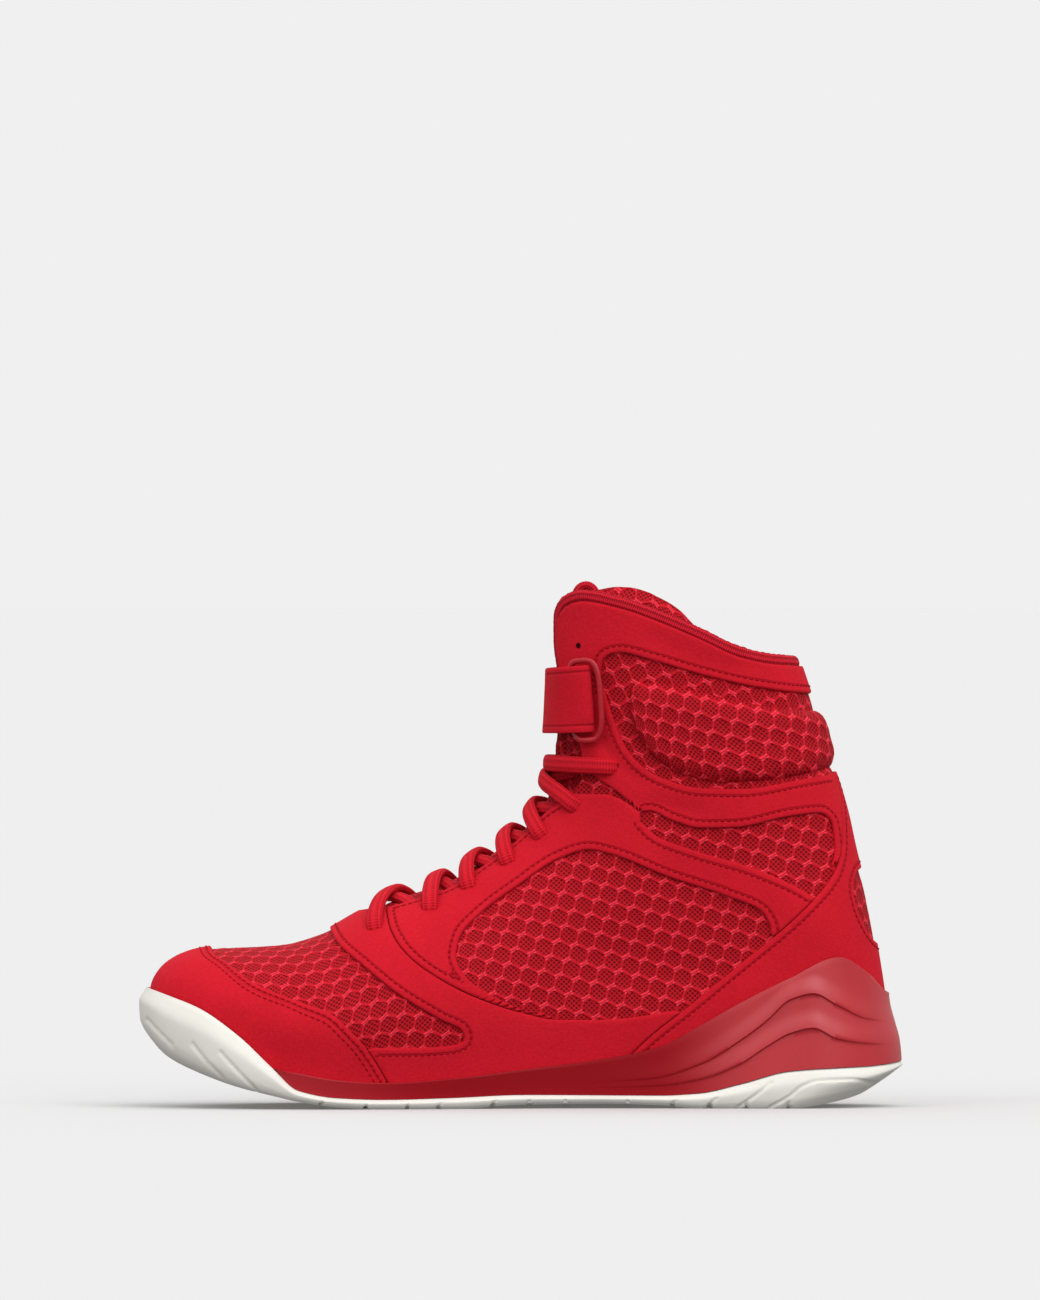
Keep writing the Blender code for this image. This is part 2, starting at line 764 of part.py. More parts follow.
def sole_ring(x, toe, heel, spread, z):
    """A ring of the sole at heights z: inner side from toe to heel, then the outer side back."""
    width = read(PLAN, "half_width", x) + spread
    half = width * rounded((toe - x) / TOE[0].rounding) * rounded((x - heel) / HEEL[0].rounding)
    swing = read(PLAN, "swing", x)
    inner = np.stack([x, swing + half, z], axis=1)
    outer = np.stack([x, swing - half, z], axis=1)
    return np.concatenate([inner, outer[::-1]])


def floor_height(x):
    """Top of the rubber inside its edge: under the foam, and ahead of it the footbed itself."""
    return np.minimum(read(SOLE, "rubber_top", x) - FOOTBED_DROP, read(SOLE, "footbed", x))


def make_outsole(material):
    """Rubber cup: tread with flex grooves, bumper round the toe, low edge along the sides and heel."""
    rings = []
    for edge in RUBBER_EDGE:
        x = sole_x(edge.toe, edge.heel)
        low, high = read(SOLE, "tread", x), read(SOLE, "rubber_top", x)
        rings.append(sole_ring(x, edge.toe, edge.heel, edge.spread, low + edge.share * (high - low)))
    lip = SOLE_CLEARANCE + GAP
    toe, heel = LAST_TOE + lip, LAST_HEEL - lip
    x = sole_x(toe, heel)
    rings.append(sole_ring(x, toe, heel, lip, read(SOLE, "rubber_top", x)))
    rings.append(sole_ring(x, toe, heel, lip, floor_height(x)))
    outsole = make_loft("outsole", rings, material)
    cut(outsole, make_grooves())
    return outsole


def make_grooves():
    """One cutter for all the flex grooves: a row of thin bars across the tread."""
    bars = bmesh.new()
    for x in FLEX_GROOVES:
        low = float(read(SOLE, "tread", x)) - GROOVE_OVERRUN
        height = GROOVE_OVERRUN + GROOVE_DEPTH
        place = Matrix.Translation(Vector((x, 0, low + height / 2)) * MM)
        size = Matrix.Diagonal((GROOVE_WIDTH * MM, 2 * CUTTER_REACH * MM, height * MM, 1.0))
        bmesh.ops.create_cube(bars, size=1.0, matrix=place @ size)
    mesh = bpy.data.meshes.new("flex_grooves")
    bars.to_mesh(mesh)
    bars.free()
    return link_cutter(bpy.data.objects.new("flex_grooves", mesh))


def make_midsole(material):
    """Foam: thin under the forefoot, rising into a heel cup whose side has two stepped waves."""

    def ring(inset, spread, height):
        heel = SOLE_HEEL + inset
        x = sole_x(SOLE_TOE, heel, True)
        wide = spread(x) if callable(spread) else spread
        return sole_ring(x, SOLE_TOE, heel, wide, height(x))

    def bottom(x):
        return read(SOLE, "rubber_top", x) + GAP

    def top(x):
        return read(SOLE, "foam_top", x)

    def rib_ring(rank, rib):
        def height(x):
            low, room = bottom(x), top(x) - bottom(x)
            least = low + RIB_ROOM * rank * room
            most = top(x) - RIB_ROOM * (len(RIBS) + 1 - rank) * room
            return np.clip(read(WAVES, rib.wave, x) + rib.shift, least, most)

        def spread(x):
            return FOAM_SIDE + (rib.spread - FOAM_SIDE) * read(WAVES, "depth", x)

        return ring(rib.inset, spread, height)

    rings = [
        ring(FOAM_PLUG_INSET, SOLE_CLEARANCE, lambda x: floor_height(x) + GAP),
        ring(FOAM_PLUG_INSET, SOLE_CLEARANCE, bottom),
        ring(FOAM_FOOT_INSET, FOAM_FOOT, lambda x: bottom(x) + GAP / 4),
        *(rib_ring(rank, rib) for rank, rib in enumerate(RIBS, 1)),
        ring(FOAM_RIM_INSET, FOAM_RIM, top),
    ]
    midsole = make_loft("midsole", rings, material)
    room = []
    for inset, rise in ((ROOM_FLOOR_INSET, 0.0), (ROOM_RIM_INSET, 1.0)):
        x = sole_x(SOLE_TOE, SOLE_HEEL + inset)
        height = read(SOLE, "footbed", x) + rise * (top(x) + ROOM_OVERRUN - read(SOLE, "footbed", x))
        room.append(sole_ring(x, SOLE_TOE, SOLE_HEEL + inset, SOLE_CLEARANCE, height))
    cut(midsole, make_loft("foot_room", room))
    return midsole


def make_insole(material):
    """Plain footbed inside the foot of the upper."""
    inset = WALL + INSOLE_MARGIN
    toe, heel = INSOLE_TOE - inset, INSOLE_HEEL + inset
    rings = []
    for lift in (GAP, GAP + INSOLE_THICKNESS):
        x = sole_x(toe, heel)
        rings.append(sole_ring(x, toe, heel, -inset, read(SOLE, "footbed", x) + lift))
    return make_loft("insole", rings, material)


def make_tongue(material):
    """Padded tongue under the throat, wrapping further round as it rises, with a sloping top."""
    start = float(under_ridge(np.array([TONGUE_FOOT.x]), np.array([TONGUE_FOOT.z]))[0][0])
    end = float(run_at_height(TONGUE_TOP))
    share = np.linspace(0, 1, TONGUE_ROWS)
    across = np.linspace(-1, 1, 2 * TONGUE_HALF_COLUMNS + 1)[None]
    place = across * np.sqrt(read(TONGUE, "reach", share))[:, None]
    depth = place**2
    run = start + share[:, None] * (end - start) - read(TONGUE_CREST, "drop", depth) * share[:, None] ** 4
    surface = over_front(run, place)
    out = normals_over_front(run, place)
    crown = TONGUE_CROWN * np.clip(1 - depth / TONGUE_CROWN_DEPTH, 0, 1)
    sink = read(TONGUE, "sink", share)[:, None] - crown * (share[:, None] > TONGUE_CROWN_START)
    soft_edge = 1 - TONGUE_EDGE_THINNING * np.abs(across) ** 3
    outer = surface - out * sink[..., None]
    inner = surface - out * (sink + read(TONGUE, "thickness", share)[:, None] * soft_edge)[..., None]
    return make_shell("tongue", outer, inner, False, material)


def make_overlays(surface, out, material):
    """Suede panels: shells over the last, cut to their side-view outlines."""
    lower, upper = surface + out * GAP, surface + out * (GAP + OVERLAY)

    def panel(name, outline, solver="EXACT"):
        piece = make_shell(name, upper, lower, True, material)
        cut(piece, make_prism(name + "_outline", outline), "INTERSECT", solver)
        return piece

    def sole_edge(start, end):
        x = np.linspace(start, end, max(3, round(abs(end - start) / 10)))
        edge = np.maximum(read(SOLE, "foam_top", x), read(SOLE, "rubber_top", x)) + GAP + SEAM_MARGIN
        return np.stack([x, edge], axis=1)

    def above(line, low, high=math.inf):
        return line[(line[:, 1] > low) & (line[:, 1] < high)]

    cap_edge = trace(CAP_EDGE, 7)
    seam = trace(STAY_SEAM, 8)
    counter_edge = trace(COUNTER_EDGE, 8)
    counter_front = shifted(counter_edge, -GAP)
    cap_sole = float(np.interp(CAP_FOOT, cap_edge[::-1, 1], cap_edge[::-1, 0]))
    panel("toe_cap", np.concatenate([
        above(cap_edge, CAP_FOOT + FOOT_MARGIN), sole_edge(cap_sole, CAP_OUTSIDE[0].x), CAP_OUTSIDE]))
    saddle_low = above(shifted(cap_edge, -GAP), CAP_FOOT + FOOT_MARGIN, SADDLE_FRONT[-1].z)
    panel("saddle", np.concatenate([
        trace(SADDLE_FRONT, 5), saddle_low, sole_edge(cap_sole - GAP - SEAM_MARGIN, COUNTER_FOOT),
        counter_front[2:5], shifted(seam, GAP)[::-1], SADDLE_OUTSIDE]))
    stay_front = shifted(seam, -GAP)[seam[:, 0] > STAY_TIP]
    stays = np.concatenate([
        stay_front, trace(QUARTER_WINDOW, 7), above(counter_front, STAY_BACK_LOW, STAY_BACK_HIGH),
        trace(ANKLE_FLOOR, 7), trace(COLLAR_SEAM, 6), STAY_OUTSIDE])
    for name, sides in (("eyestay_medial", (STAY_MIDDLE, 1)), ("eyestay_lateral", (-1, -STAY_MIDDLE))):
        piece = make_shell(name, upper, lower, True, material)
        cut(piece, make_prism(name + "_outline", stays, sides), "INTERSECT")
    panel("collar_frame", np.concatenate([
        trace(COLLAR_NOTCH, 5), trace(ANKLE_ROOF, 7), above(counter_front, FRAME_BACK), trace(PAD_FLOOR, 7),
        FRAME_OUTSIDE]), "MANIFOLD")
    counter = panel("heel_counter", np.concatenate([
        sole_edge(COUNTER_FOOT, COUNTER_OUTSIDE[0].x)[1:], COUNTER_OUTSIDE, counter_edge[::-1][:-2]]))
    window = np.concatenate([trace(HEEL_WINDOW, 4), HEEL_WINDOW_OUTSIDE])
    cut(counter, make_prism("heel_window", window))


def make_pad(material):
    """Puffed ring round the back of the ankle, from one side of the collar to the other."""
    turn = np.linspace(1, -1, 2 * PAD_HALF_COLUMNS + 1)
    back = PAD[0].x
    x = back + (PAD[-1].x - back) * turn**2
    share = np.linspace(0, 1, PAD_ROWS + 1)[:, None]
    z = read(PAD, "low", x)[None] + share * (read(PAD, "high", x) - read(PAD, "low", x))[None]
    heel = read(HEEL, "x", z)
    x = heel + (PAD[-1].x - heel) * (turn**2)[None]
    surface = on_last(x, z, np.sign(turn)[None] * np.ones_like(z))
    out = normals(surface, False)
    swell = (1 - np.abs(2 * share - 1) ** 3) * (1 - np.abs(turn[None]) ** 8)
    outer = surface + out * (PAD_CLEARANCE + PAD_EDGE + PAD_LIFT * swell)[..., None]
    inner = surface + out * PAD_CLEARANCE
    return make_shell("collar_pad", outer, inner, False, material)


def make_tube(name, points, radius, material, closed=False):
    """A round bar or cord along points, as a curve with a bevel."""
    curve = bpy.data.curves.new(name, "CURVE")
    curve.dimensions = "3D"
    curve.bevel_depth = radius * MM
    curve.bevel_resolution = 1
    curve.use_fill_caps = not closed
    spline = curve.splines.new("POLY")
    spline.points.add(len(points) - 1)
    spline.use_cyclic_u = closed
    for knot, point in zip(spline.points, points):
        knot.co = (*(point * MM), 1.0)
    curve.materials.append(material)
    piece = bpy.data.objects.new(name, curve)
    PARTS.objects.link(piece)
    return piece


def make_binding(surface, inner, material):
    """Knitted edge along the rim, from one front flap round the collar to the other."""
    rim = (surface[-1] + inner[-1]) / 2
    up = (surface[-1] - surface[-2]) + (inner[-1] - inner[-2])
    up /= np.linalg.norm(up, axis=1)[:, None]
    path = rim + up * (BINDING_RADIUS + 2 * GAP)
    return make_tube("collar_binding", path[path[:, 2] > BINDING_FOOT], BINDING_RADIUS, material)


def make_ribbon(name, middle, across, out, width, thickness, material=None):
    """A flat cord with rounded edges through middle points, with its width and thickness directions."""
    corners = [(-1, 0), (-0.6, 1), (0.6, 1), (1, 0), (0.6, -1), (-0.6, -1)]
    rings = []
    for centre, wide, thick in zip(middle, across, out):
        rings.append([centre + wide * width / 2 * a + thick * thickness / 2 * b for a, b in corners])
    return make_loft(name, rings, material)


def unit(vectors):
    """Vectors scaled to length one."""
    return vectors / np.linalg.norm(vectors, axis=-1)[..., None]


def make_lace(name, start, end, lifts, material=None):
    """A stretch of lace between two run and place pairs over the throat."""
    share = np.linspace(0, 1, len(lifts))
    run = start[0] + (end[0] - start[0]) * share
    place = start[1] + (end[1] - start[1]) * share
    out = normals_over_front(run, place)
    middle = over_front(run, place) + out * np.array(lifts)[:, None]
    ahead = unit(np.gradient(middle, axis=0))
    return make_ribbon(name, middle, unit(np.cross(out, ahead)), out, LACE_WIDTH, LACE_THICKNESS, material)


def make_laces(material):
    """Crossings over the throat, joined in pairs, and a bar at the top holes."""
    holes = np.array(EYELETS)
    run, depth = under_ridge(holes[:, 0], holes[:, 1])
    place = np.sqrt(depth)
    for i in range(len(EYELETS) - 1):
        end = run[i + 1] - (TUCK_BACK_TOP if i == len(EYELETS) - 2 else TUCK_BACK)
        over = make_lace(f"lace_cross_{i + 1}", (run[i], place[i]), (end, -TUCK_PLACE), OVER_LIFTS, material)
        under = make_lace(f"lace_under_{i + 1}", (run[i], -place[i]), (end, TUCK_PLACE), UNDER_LIFTS)
        cut(over, under, "UNION")
    make_lace("lace_top_bar", (run[-1], place[-1]), (run[-1], -place[-1]), BAR_LIFTS, material)


def make_strap(material):
    """Ankle strap: out to the ring, back over its near bar and round to the outer side."""
    place = np.array([row.place for row in STRAP])
    lift = np.array([row.lift for row in STRAP])
    rings = []
    for end in (-0.5, 0.5):
        height = STRAP_HEIGHT + end * STRAP_WIDTH
        run = run_at_height(height) * np.ones_like(place)
        middle = over_front(run, place) + normals_over_front(run, place) * lift[:, None]
        ahead = unit(np.gradient(middle, axis=0))
        thick = unit(np.cross(ahead, [0, 0, 1.0]))
        near, far = middle + thick * STRAP_THICKNESS / 2, middle - thick * STRAP_THICKNESS / 2
        rings.append(np.concatenate([near, far[::-1]]))
    return make_loft("strap", rings, material)


def make_ring(material):
    """Moulded ring that the strap folds through, upright on the inner side of the collar."""
    turn = np.linspace(0, 2 * math.pi, RING_POINTS + 1)[:-1]
    across, up = np.cos(turn), np.sin(turn)
    place = RING_CENTRE.x + RING_HALF_PLACE * np.sign(across) * np.abs(across) ** RING_SQUARENESS
    height = RING_CENTRE.z + RING_HALF_HEIGHT * np.sign(up) * np.abs(up) ** RING_SQUARENESS
    run = run_at_height(height)
    path = over_front(run, place) + normals_over_front(run, place) * RING_LIFT
    return make_tube("strap_ring", path, RING_BAR / 2, material, closed=True)


def make_pull_loop(material):
    """Webbing loop standing on the top of the tongue."""
    turn = np.linspace(math.pi, 0, 9)

    def arch(y, inset):
        x = LOOP_CENTRE.x - (LOOP_HALF_LENGTH - inset) * np.cos(turn)
        z = LOOP_CENTRE.z + (LOOP_HEIGHT - inset) * np.sin(turn)
        return np.stack([x, np.full_like(x, LOOP_MIDDLE + y), z], axis=1)

    edges = (-LOOP_WIDTH / 2, LOOP_WIDTH / 2)
    rings = [np.concatenate([arch(y, 0.0), arch(y, LOOP_THICKNESS)[::-1]]) for y in edges]
    return make_loft("pull_loop", rings, material)


for leftover in list(bpy.data.objects):
    bpy.data.objects.remove(leftover)
PARTS = bpy.data.collections.new("boxing_shoe")
CUTTERS = bpy.data.collections.new("cutters")
for group in (PARTS, CUTTERS):
    bpy.context.scene.collection.children.link(group)

suede = make_material("red_suede", (0.50, 0.012, 0.022), 0.85)
mesh_cloth = make_material("red_mesh", (0.42, 0.010, 0.020), 0.75)
knit = make_material("red_knit", (0.48, 0.012, 0.022), 0.9)
foam = make_material("red_foam", (0.36, 0.016, 0.022), 0.55)
rubber = make_material("white_rubber", (0.76, 0.73, 0.68), 0.5)
moulding = make_material("red_moulding", (0.50, 0.010, 0.018), 0.25)
lining = make_material("dark_red_lining", (0.20, 0.008, 0.012), 0.9)

last = last_grid(SIDE_COLUMNS, SIDE_ROWS)
out = normals(last, True)
inside = last - out * WALL
make_shell("upper", last, inside, True, mesh_cloth)
make_outsole(rubber)
make_midsole(foam)
make_insole(lining)
make_tongue(mesh_cloth)
make_overlays(last, out, suede)
make_pad(mesh_cloth)
make_binding(last, inside, knit)
make_strap(suede)
make_ring(moulding)
make_pull_loop(knit)
make_laces(knit)
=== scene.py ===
"""Looks of the high-top boxing shoe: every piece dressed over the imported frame.

Sizes are in millimetres in the shoe's own frame: +X towards the toe, +Y towards the inner side of the
foot, +Z up, with the origin on the floor under the middle of the sole. Meshes are in metres.
"""

import logging
import math
from dataclasses import dataclass, field
from enum import Enum

import bmesh
import bpy
import numpy as np
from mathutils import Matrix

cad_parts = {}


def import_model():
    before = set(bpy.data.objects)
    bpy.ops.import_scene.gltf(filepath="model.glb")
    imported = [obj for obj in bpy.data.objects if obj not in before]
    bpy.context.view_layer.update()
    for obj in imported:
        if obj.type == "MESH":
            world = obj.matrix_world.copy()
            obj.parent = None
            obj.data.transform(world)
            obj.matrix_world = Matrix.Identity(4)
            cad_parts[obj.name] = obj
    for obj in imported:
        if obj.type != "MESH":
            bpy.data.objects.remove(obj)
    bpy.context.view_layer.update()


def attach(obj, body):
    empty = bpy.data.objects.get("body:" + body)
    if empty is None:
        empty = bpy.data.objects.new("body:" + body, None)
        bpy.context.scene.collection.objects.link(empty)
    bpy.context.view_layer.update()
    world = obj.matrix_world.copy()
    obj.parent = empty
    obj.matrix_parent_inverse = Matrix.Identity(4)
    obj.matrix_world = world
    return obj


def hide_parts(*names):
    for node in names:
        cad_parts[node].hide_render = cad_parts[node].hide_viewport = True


LOG = logging.getLogger("boxing_shoe")
MM = 0.001
Line = tuple[tuple[float, float], ...]
Colour = tuple[float, float, float]


class Side(Enum):
    """Side of the shoe that a line or panel lies on."""

    INNER = 1
    OUTER = -1


class Around(Enum):
    """Where a panel lies: across the toe, round the heel, or on one side only."""

    TOE = "toe"
    HEEL = "heel"
    INNER = "inner"
    OUTER = "outer"


def smooth(place: np.ndarray, value: np.ndarray, at: np.ndarray) -> np.ndarray:
    """Reads a smooth curve without overshoot.

    Args:
        place: rising places where the value is known.
        value: the values there.
        at: places to read, held inside the range.

    Returns:
        Values at those places.
    """
    step = np.diff(place)
    rise = np.diff(value) / step
    slope = np.concatenate([rise[:1], np.zeros(len(step) - 1), rise[-1:]])
    for i in range(1, len(step)):
        if rise[i - 1] * rise[i] > 0:
            before, after = 2 * step[i] + step[i - 1], step[i] + 2 * step[i - 1]
            slope[i] = (before + after) / (before / rise[i - 1] + after / rise[i])
    at = np.clip(np.asarray(at, float), place[0], place[-1])
    i = np.clip(np.searchsorted(place, at, side="right") - 1, 0, len(step) - 1)
    u = (at - place[i]) / step[i]
    held = value[i] * (1 + 2 * u) * (1 - u) ** 2 + value[i + 1] * (3 - 2 * u) * u**2
    return held + step[i] * (slope[i] * u * (1 - u) ** 2 - slope[i + 1] * (1 - u) * u**2)


@dataclass(frozen=True)
class Table:
    """Rows of sizes with named columns, the first of them the place."""

    columns: str
    rows: tuple[tuple[float, ...], ...]

    def column(self, name: str) -> np.ndarray:
        """All values of one column."""
        return np.array([row[self.columns.split().index(name)] for row in self.rows], float)

    def read(self, name: str, at: np.ndarray) -> np.ndarray:
        """Values of a column at places of the first one."""
        return smooth(self.column(self.columns.split()[0]), self.column(name), at)


def unit(vectors: np.ndarray) -> np.ndarray:
    """Vectors scaled to length one."""
    return vectors / np.maximum(np.linalg.norm(vectors, axis=-1), 1e-12)[..., None]


def ease(value: np.ndarray, low: float, high: float) -> np.ndarray:
    """Smooth step from 0 at low to 1 at high, which may be the lower of the two."""
    share = np.clip((value - low) / (high - low), 0, 1)
    return share * share * (3 - 2 * share)


def rounded(share: np.ndarray) -> np.ndarray:
    """Quarter circle from 0 at the edge to 1 at full depth."""
    return np.sqrt(1 - (1 - np.clip(share, 0, 1)) ** 2)


def runs(line: np.ndarray) -> np.ndarray:
    """Distance along a line at each of its points."""
    return np.concatenate([[0], np.cumsum(np.linalg.norm(np.diff(line, axis=0), axis=1))])


def trace(points: Line, spacing: float = 1.0) -> np.ndarray:
    """Smooth open line through points, as points about the spacing apart.

    Args:
        points: a few given points.
        spacing: distance between the points of the result.

    Returns:
        Array of points along the line.
    """
    known = np.array(points, float)
    run = runs(known)
    at = np.linspace(0, run[-1], max(2, round(run[-1] / spacing) + 1))
    return np.stack([smooth(run, known[:, i], at) for i in range(known.shape[1])], axis=1)


def along(line: np.ndarray, share: np.ndarray) -> np.ndarray:
    """Points at shares of a line's length."""
    run = runs(line)
    at = np.asarray(share) * run[-1]
    return np.stack([np.interp(at, run, line[:, i]) for i in range(line.shape[1])], axis=-1)


def shifted(line: np.ndarray, distance: float) -> np.ndarray:
    """A flat line moved square to itself, to the left of its run when the distance is positive."""
    run = unit(np.gradient(line, axis=0))
    return line + distance * np.stack([-run[:, 1], run[:, 0]], axis=1)


def inside(outline: np.ndarray, x: np.ndarray, z: np.ndarray) -> np.ndarray:
    """Tells which flat points lie inside a closed outline.

    Args:
        outline: corners of the outline.
        x, z: the points, as arrays of one shape.

    Returns:
        Array of truth values.
    """
    odd = np.zeros(np.shape(x), bool)
    for (x0, z0), (x1, z1) in zip(outline, np.roll(outline, -1, axis=0)):
        if z0 != z1:
            crosses = (z0 > z) != (z1 > z)
            odd ^= crosses & (x < x0 + (z - z0) * (x1 - x0) / (z1 - z0))
    return odd


def nearest(points: np.ndarray, line: np.ndarray,
            chunk: int = 8000) -> tuple[np.ndarray, np.ndarray, np.ndarray]:
    """Measures points against a line of straight stretches, in two or three dimensions.

    Args:
        points: the points to measure.
        line: points of the line.
        chunk: how many points are measured at once.

    Returns:
        Distance, index of the nearest stretch and share along that stretch, for each point.
    """
    start, span = line[:-1], np.diff(line, axis=0)
    square = np.maximum((span**2).sum(1), 1e-12)
    found = []
    for first in range(0, len(points), chunk):
        here = points[first:first + chunk]
        share = np.clip((here @ span.T - (start * span).sum(1)) / square, 0, 1)
        far = sum((here[:, i, None] - start[:, i] - share * span[:, i]) ** 2 for i in range(line.shape[1]))
        best = far.argmin(axis=1)
        rows = np.arange(len(best))
        found.append((np.sqrt(far[rows, best]), best, share[rows, best]))
    return tuple(np.concatenate(column) for column in zip(*found))


# Form of the last

PLAN = Table("x half_width swing", (
    (-148, 32.5, 1.2), (-100, 32.5, 0.7), (-60, 31.5, -1.3), (-20, 33.5, -3.3), (20, 40.5, -3.3),
    (50, 46.0, -1.8), (72, 46.5, -0.3), (100, 45.0, 3.2), (148, 41.0, 10.2)))
SOLE = Table("x tread rubber_top foam_top footbed", (
    (-148, 14.0, 17.8, 43.0, 22.5), (-143, 10.5, 17.0, 44.0, 22.5), (-134.5, 6.2, 16.2, 52.0, 22.5),
    (-123, 2.8, 15.7, 58.5, 22.3), (-104, 0.0, 14.4, 50.5, 21.8), (-85, 0.0, 9.5, 41.0, 20.8),
    (-69, 0.0, 5.8, 32.0, 19.3), (-54, 1.2, 4.9, 24.0, 17.3), (-31, 1.8, 5.0, 19.0, 14.2),
    (0, 1.5, 5.2, 15.0, 10.8), (26, 0.0, 4.2, 11.8, 9.0), (53, 0.0, 3.6, 10.2, 8.5),
    (70, 0.7, 4.2, 11.2, 9.4), (86, 3.0, 7.2, 14.0, 11.6), (96, 5.3, 16.0, 16.2, 13.6),
    (109, 8.5, 28.3, 28.3, 17.0), (124.5, 14.0, 39.0, 39.0, 22.5), (136, 19.5, 43.5, 43.5, 27.0),
    (148, 30.0, 47.5, 47.5, 32.5)))
TOE = Table("z x rounding", (
    (20, 141.8, 56), (31, 142.4, 56), (41, 142.8, 54), (47.5, 141.8, 50), (53, 138.6, 44),
    (57, 133.4, 36), (59.7, 126.5, 30), (61.2, 119.0, 26)))
HEEL = Table("z x rounding", (
    (18, -142.2, 36), (37, -140.6, 36), (58, -137.6, 36), (80, -133.6, 37), (101, -128.4, 40),
    (113, -125.8, 42), (123, -123.0, 43), (129, -121.0, 44), (134, -118.2, 44), (142, -115.4, 45),
    (154, -113.0, 46), (171, -107.6, 46)))
RIDGE = Table("x z rounding", (
    (156, 61.2, 30), (122, 61.2, 30), (109, 61.4, 33), (93.5, 62.3, 37), (78, 66.3, 42),
    (61.7, 74.9, 47), (47, 81.5, 50), (28.7, 87.7, 54), (13.2, 97.4, 56), (-0.8, 108.3, 56),
    (-7.4, 116.4, 54), (-11.3, 124.5, 52), (-12.8, 134.2, 48), (-12.4, 146.0, 46),
    (-11.3, 161.4, 44), (-10.1, 177.0, 43), (-9.7, 196.0, 42), (-10.1, 210.0, 42)))
VAMP_POINT = (61.7, 74.9)
THROAT: Line = (
    VAMP_POINT, (54.7, 75.9), (47.0, 77.6), (37.2, 80.7), (28.7, 83.4), (13.2, 93.1), (-0.8, 104.0),
    (-10.1, 113.3), (-19.8, 121.4), (-24.4, 129.6), (-24.0, 137.4), (-21.7, 146.0), (-18.2, 157.5),
    (-15.9, 169.2), (-14.7, 179.0), (-14.7, 188.0), (-17.5, 193.6), (-24.1, 196.0), (-38.4, 193.2),
    (-53.9, 187.8), (-69.5, 181.2), (-85.0, 174.2), (-96.6, 171.5), (-107.7, 170.5))
FAN = Table("column sole rim", (
    (0.0, 0.0, 0.0), (0.30, 0.38, 0.24), (0.46, 0.58, 0.385), (0.55, 0.73, 0.455), (0.62, 0.775, 0.55),
    (0.73, 0.82, 0.70), (1.0, 1.0, 1.0)))
GAP = 0.4
WALL = 2.2
OVERLAY = 1.2
SEAM = 0.1
HEM_TUCK = 0.075
HEM_HEIGHT = 26.0
FOLDS: tuple[tuple[float, float, Line], ...] = (
    (-0.9, 3.0, ((-30.5, 147.0), (-34.0, 139.0), (-40.5, 131.0), (-47.0, 126.5))),
    (0.5, 2.6, ((-26.5, 143.0), (-30.0, 135.5), (-35.0, 129.5))),
    (-0.7, 4.0, ((-46.0, 118.0), (-56.0, 117.0), (-68.0, 114.5))),
    (-0.8, 5.0, ((101.0, 60.0), (95.0, 53.0), (88.0, 42.0))),
    (0.5, 4.0, ((92.0, 61.0), (84.0, 52.0), (76.0, 42.0))),
    (-0.6, 4.5, ((79.0, 62.0), (70.0, 52.0), (61.0, 42.0))),
    (-0.9, 11.0, ((-20.0, 62.0), (-44.0, 56.0), (-66.0, 52.0))),
    (-0.7, 6.0, ((14.0, 80.0), (26.0, 66.0), (34.0, 54.0))),
    (0.6, 7.0, ((-98.0, 88.0), (-110.0, 76.0), (-120.0, 66.0))),
    (-0.6, 5.0, ((-52.0, 181.0), (-66.0, 174.0), (-80.0, 169.0))))


def hem(x: np.ndarray, z: np.ndarray) -> np.ndarray:
    """Share of the half width that is left where the upper turns under towards the sole."""
    return 1 - HEM_TUCK * ease(z - SOLE.read("footbed", x), HEM_HEIGHT, 0.0)


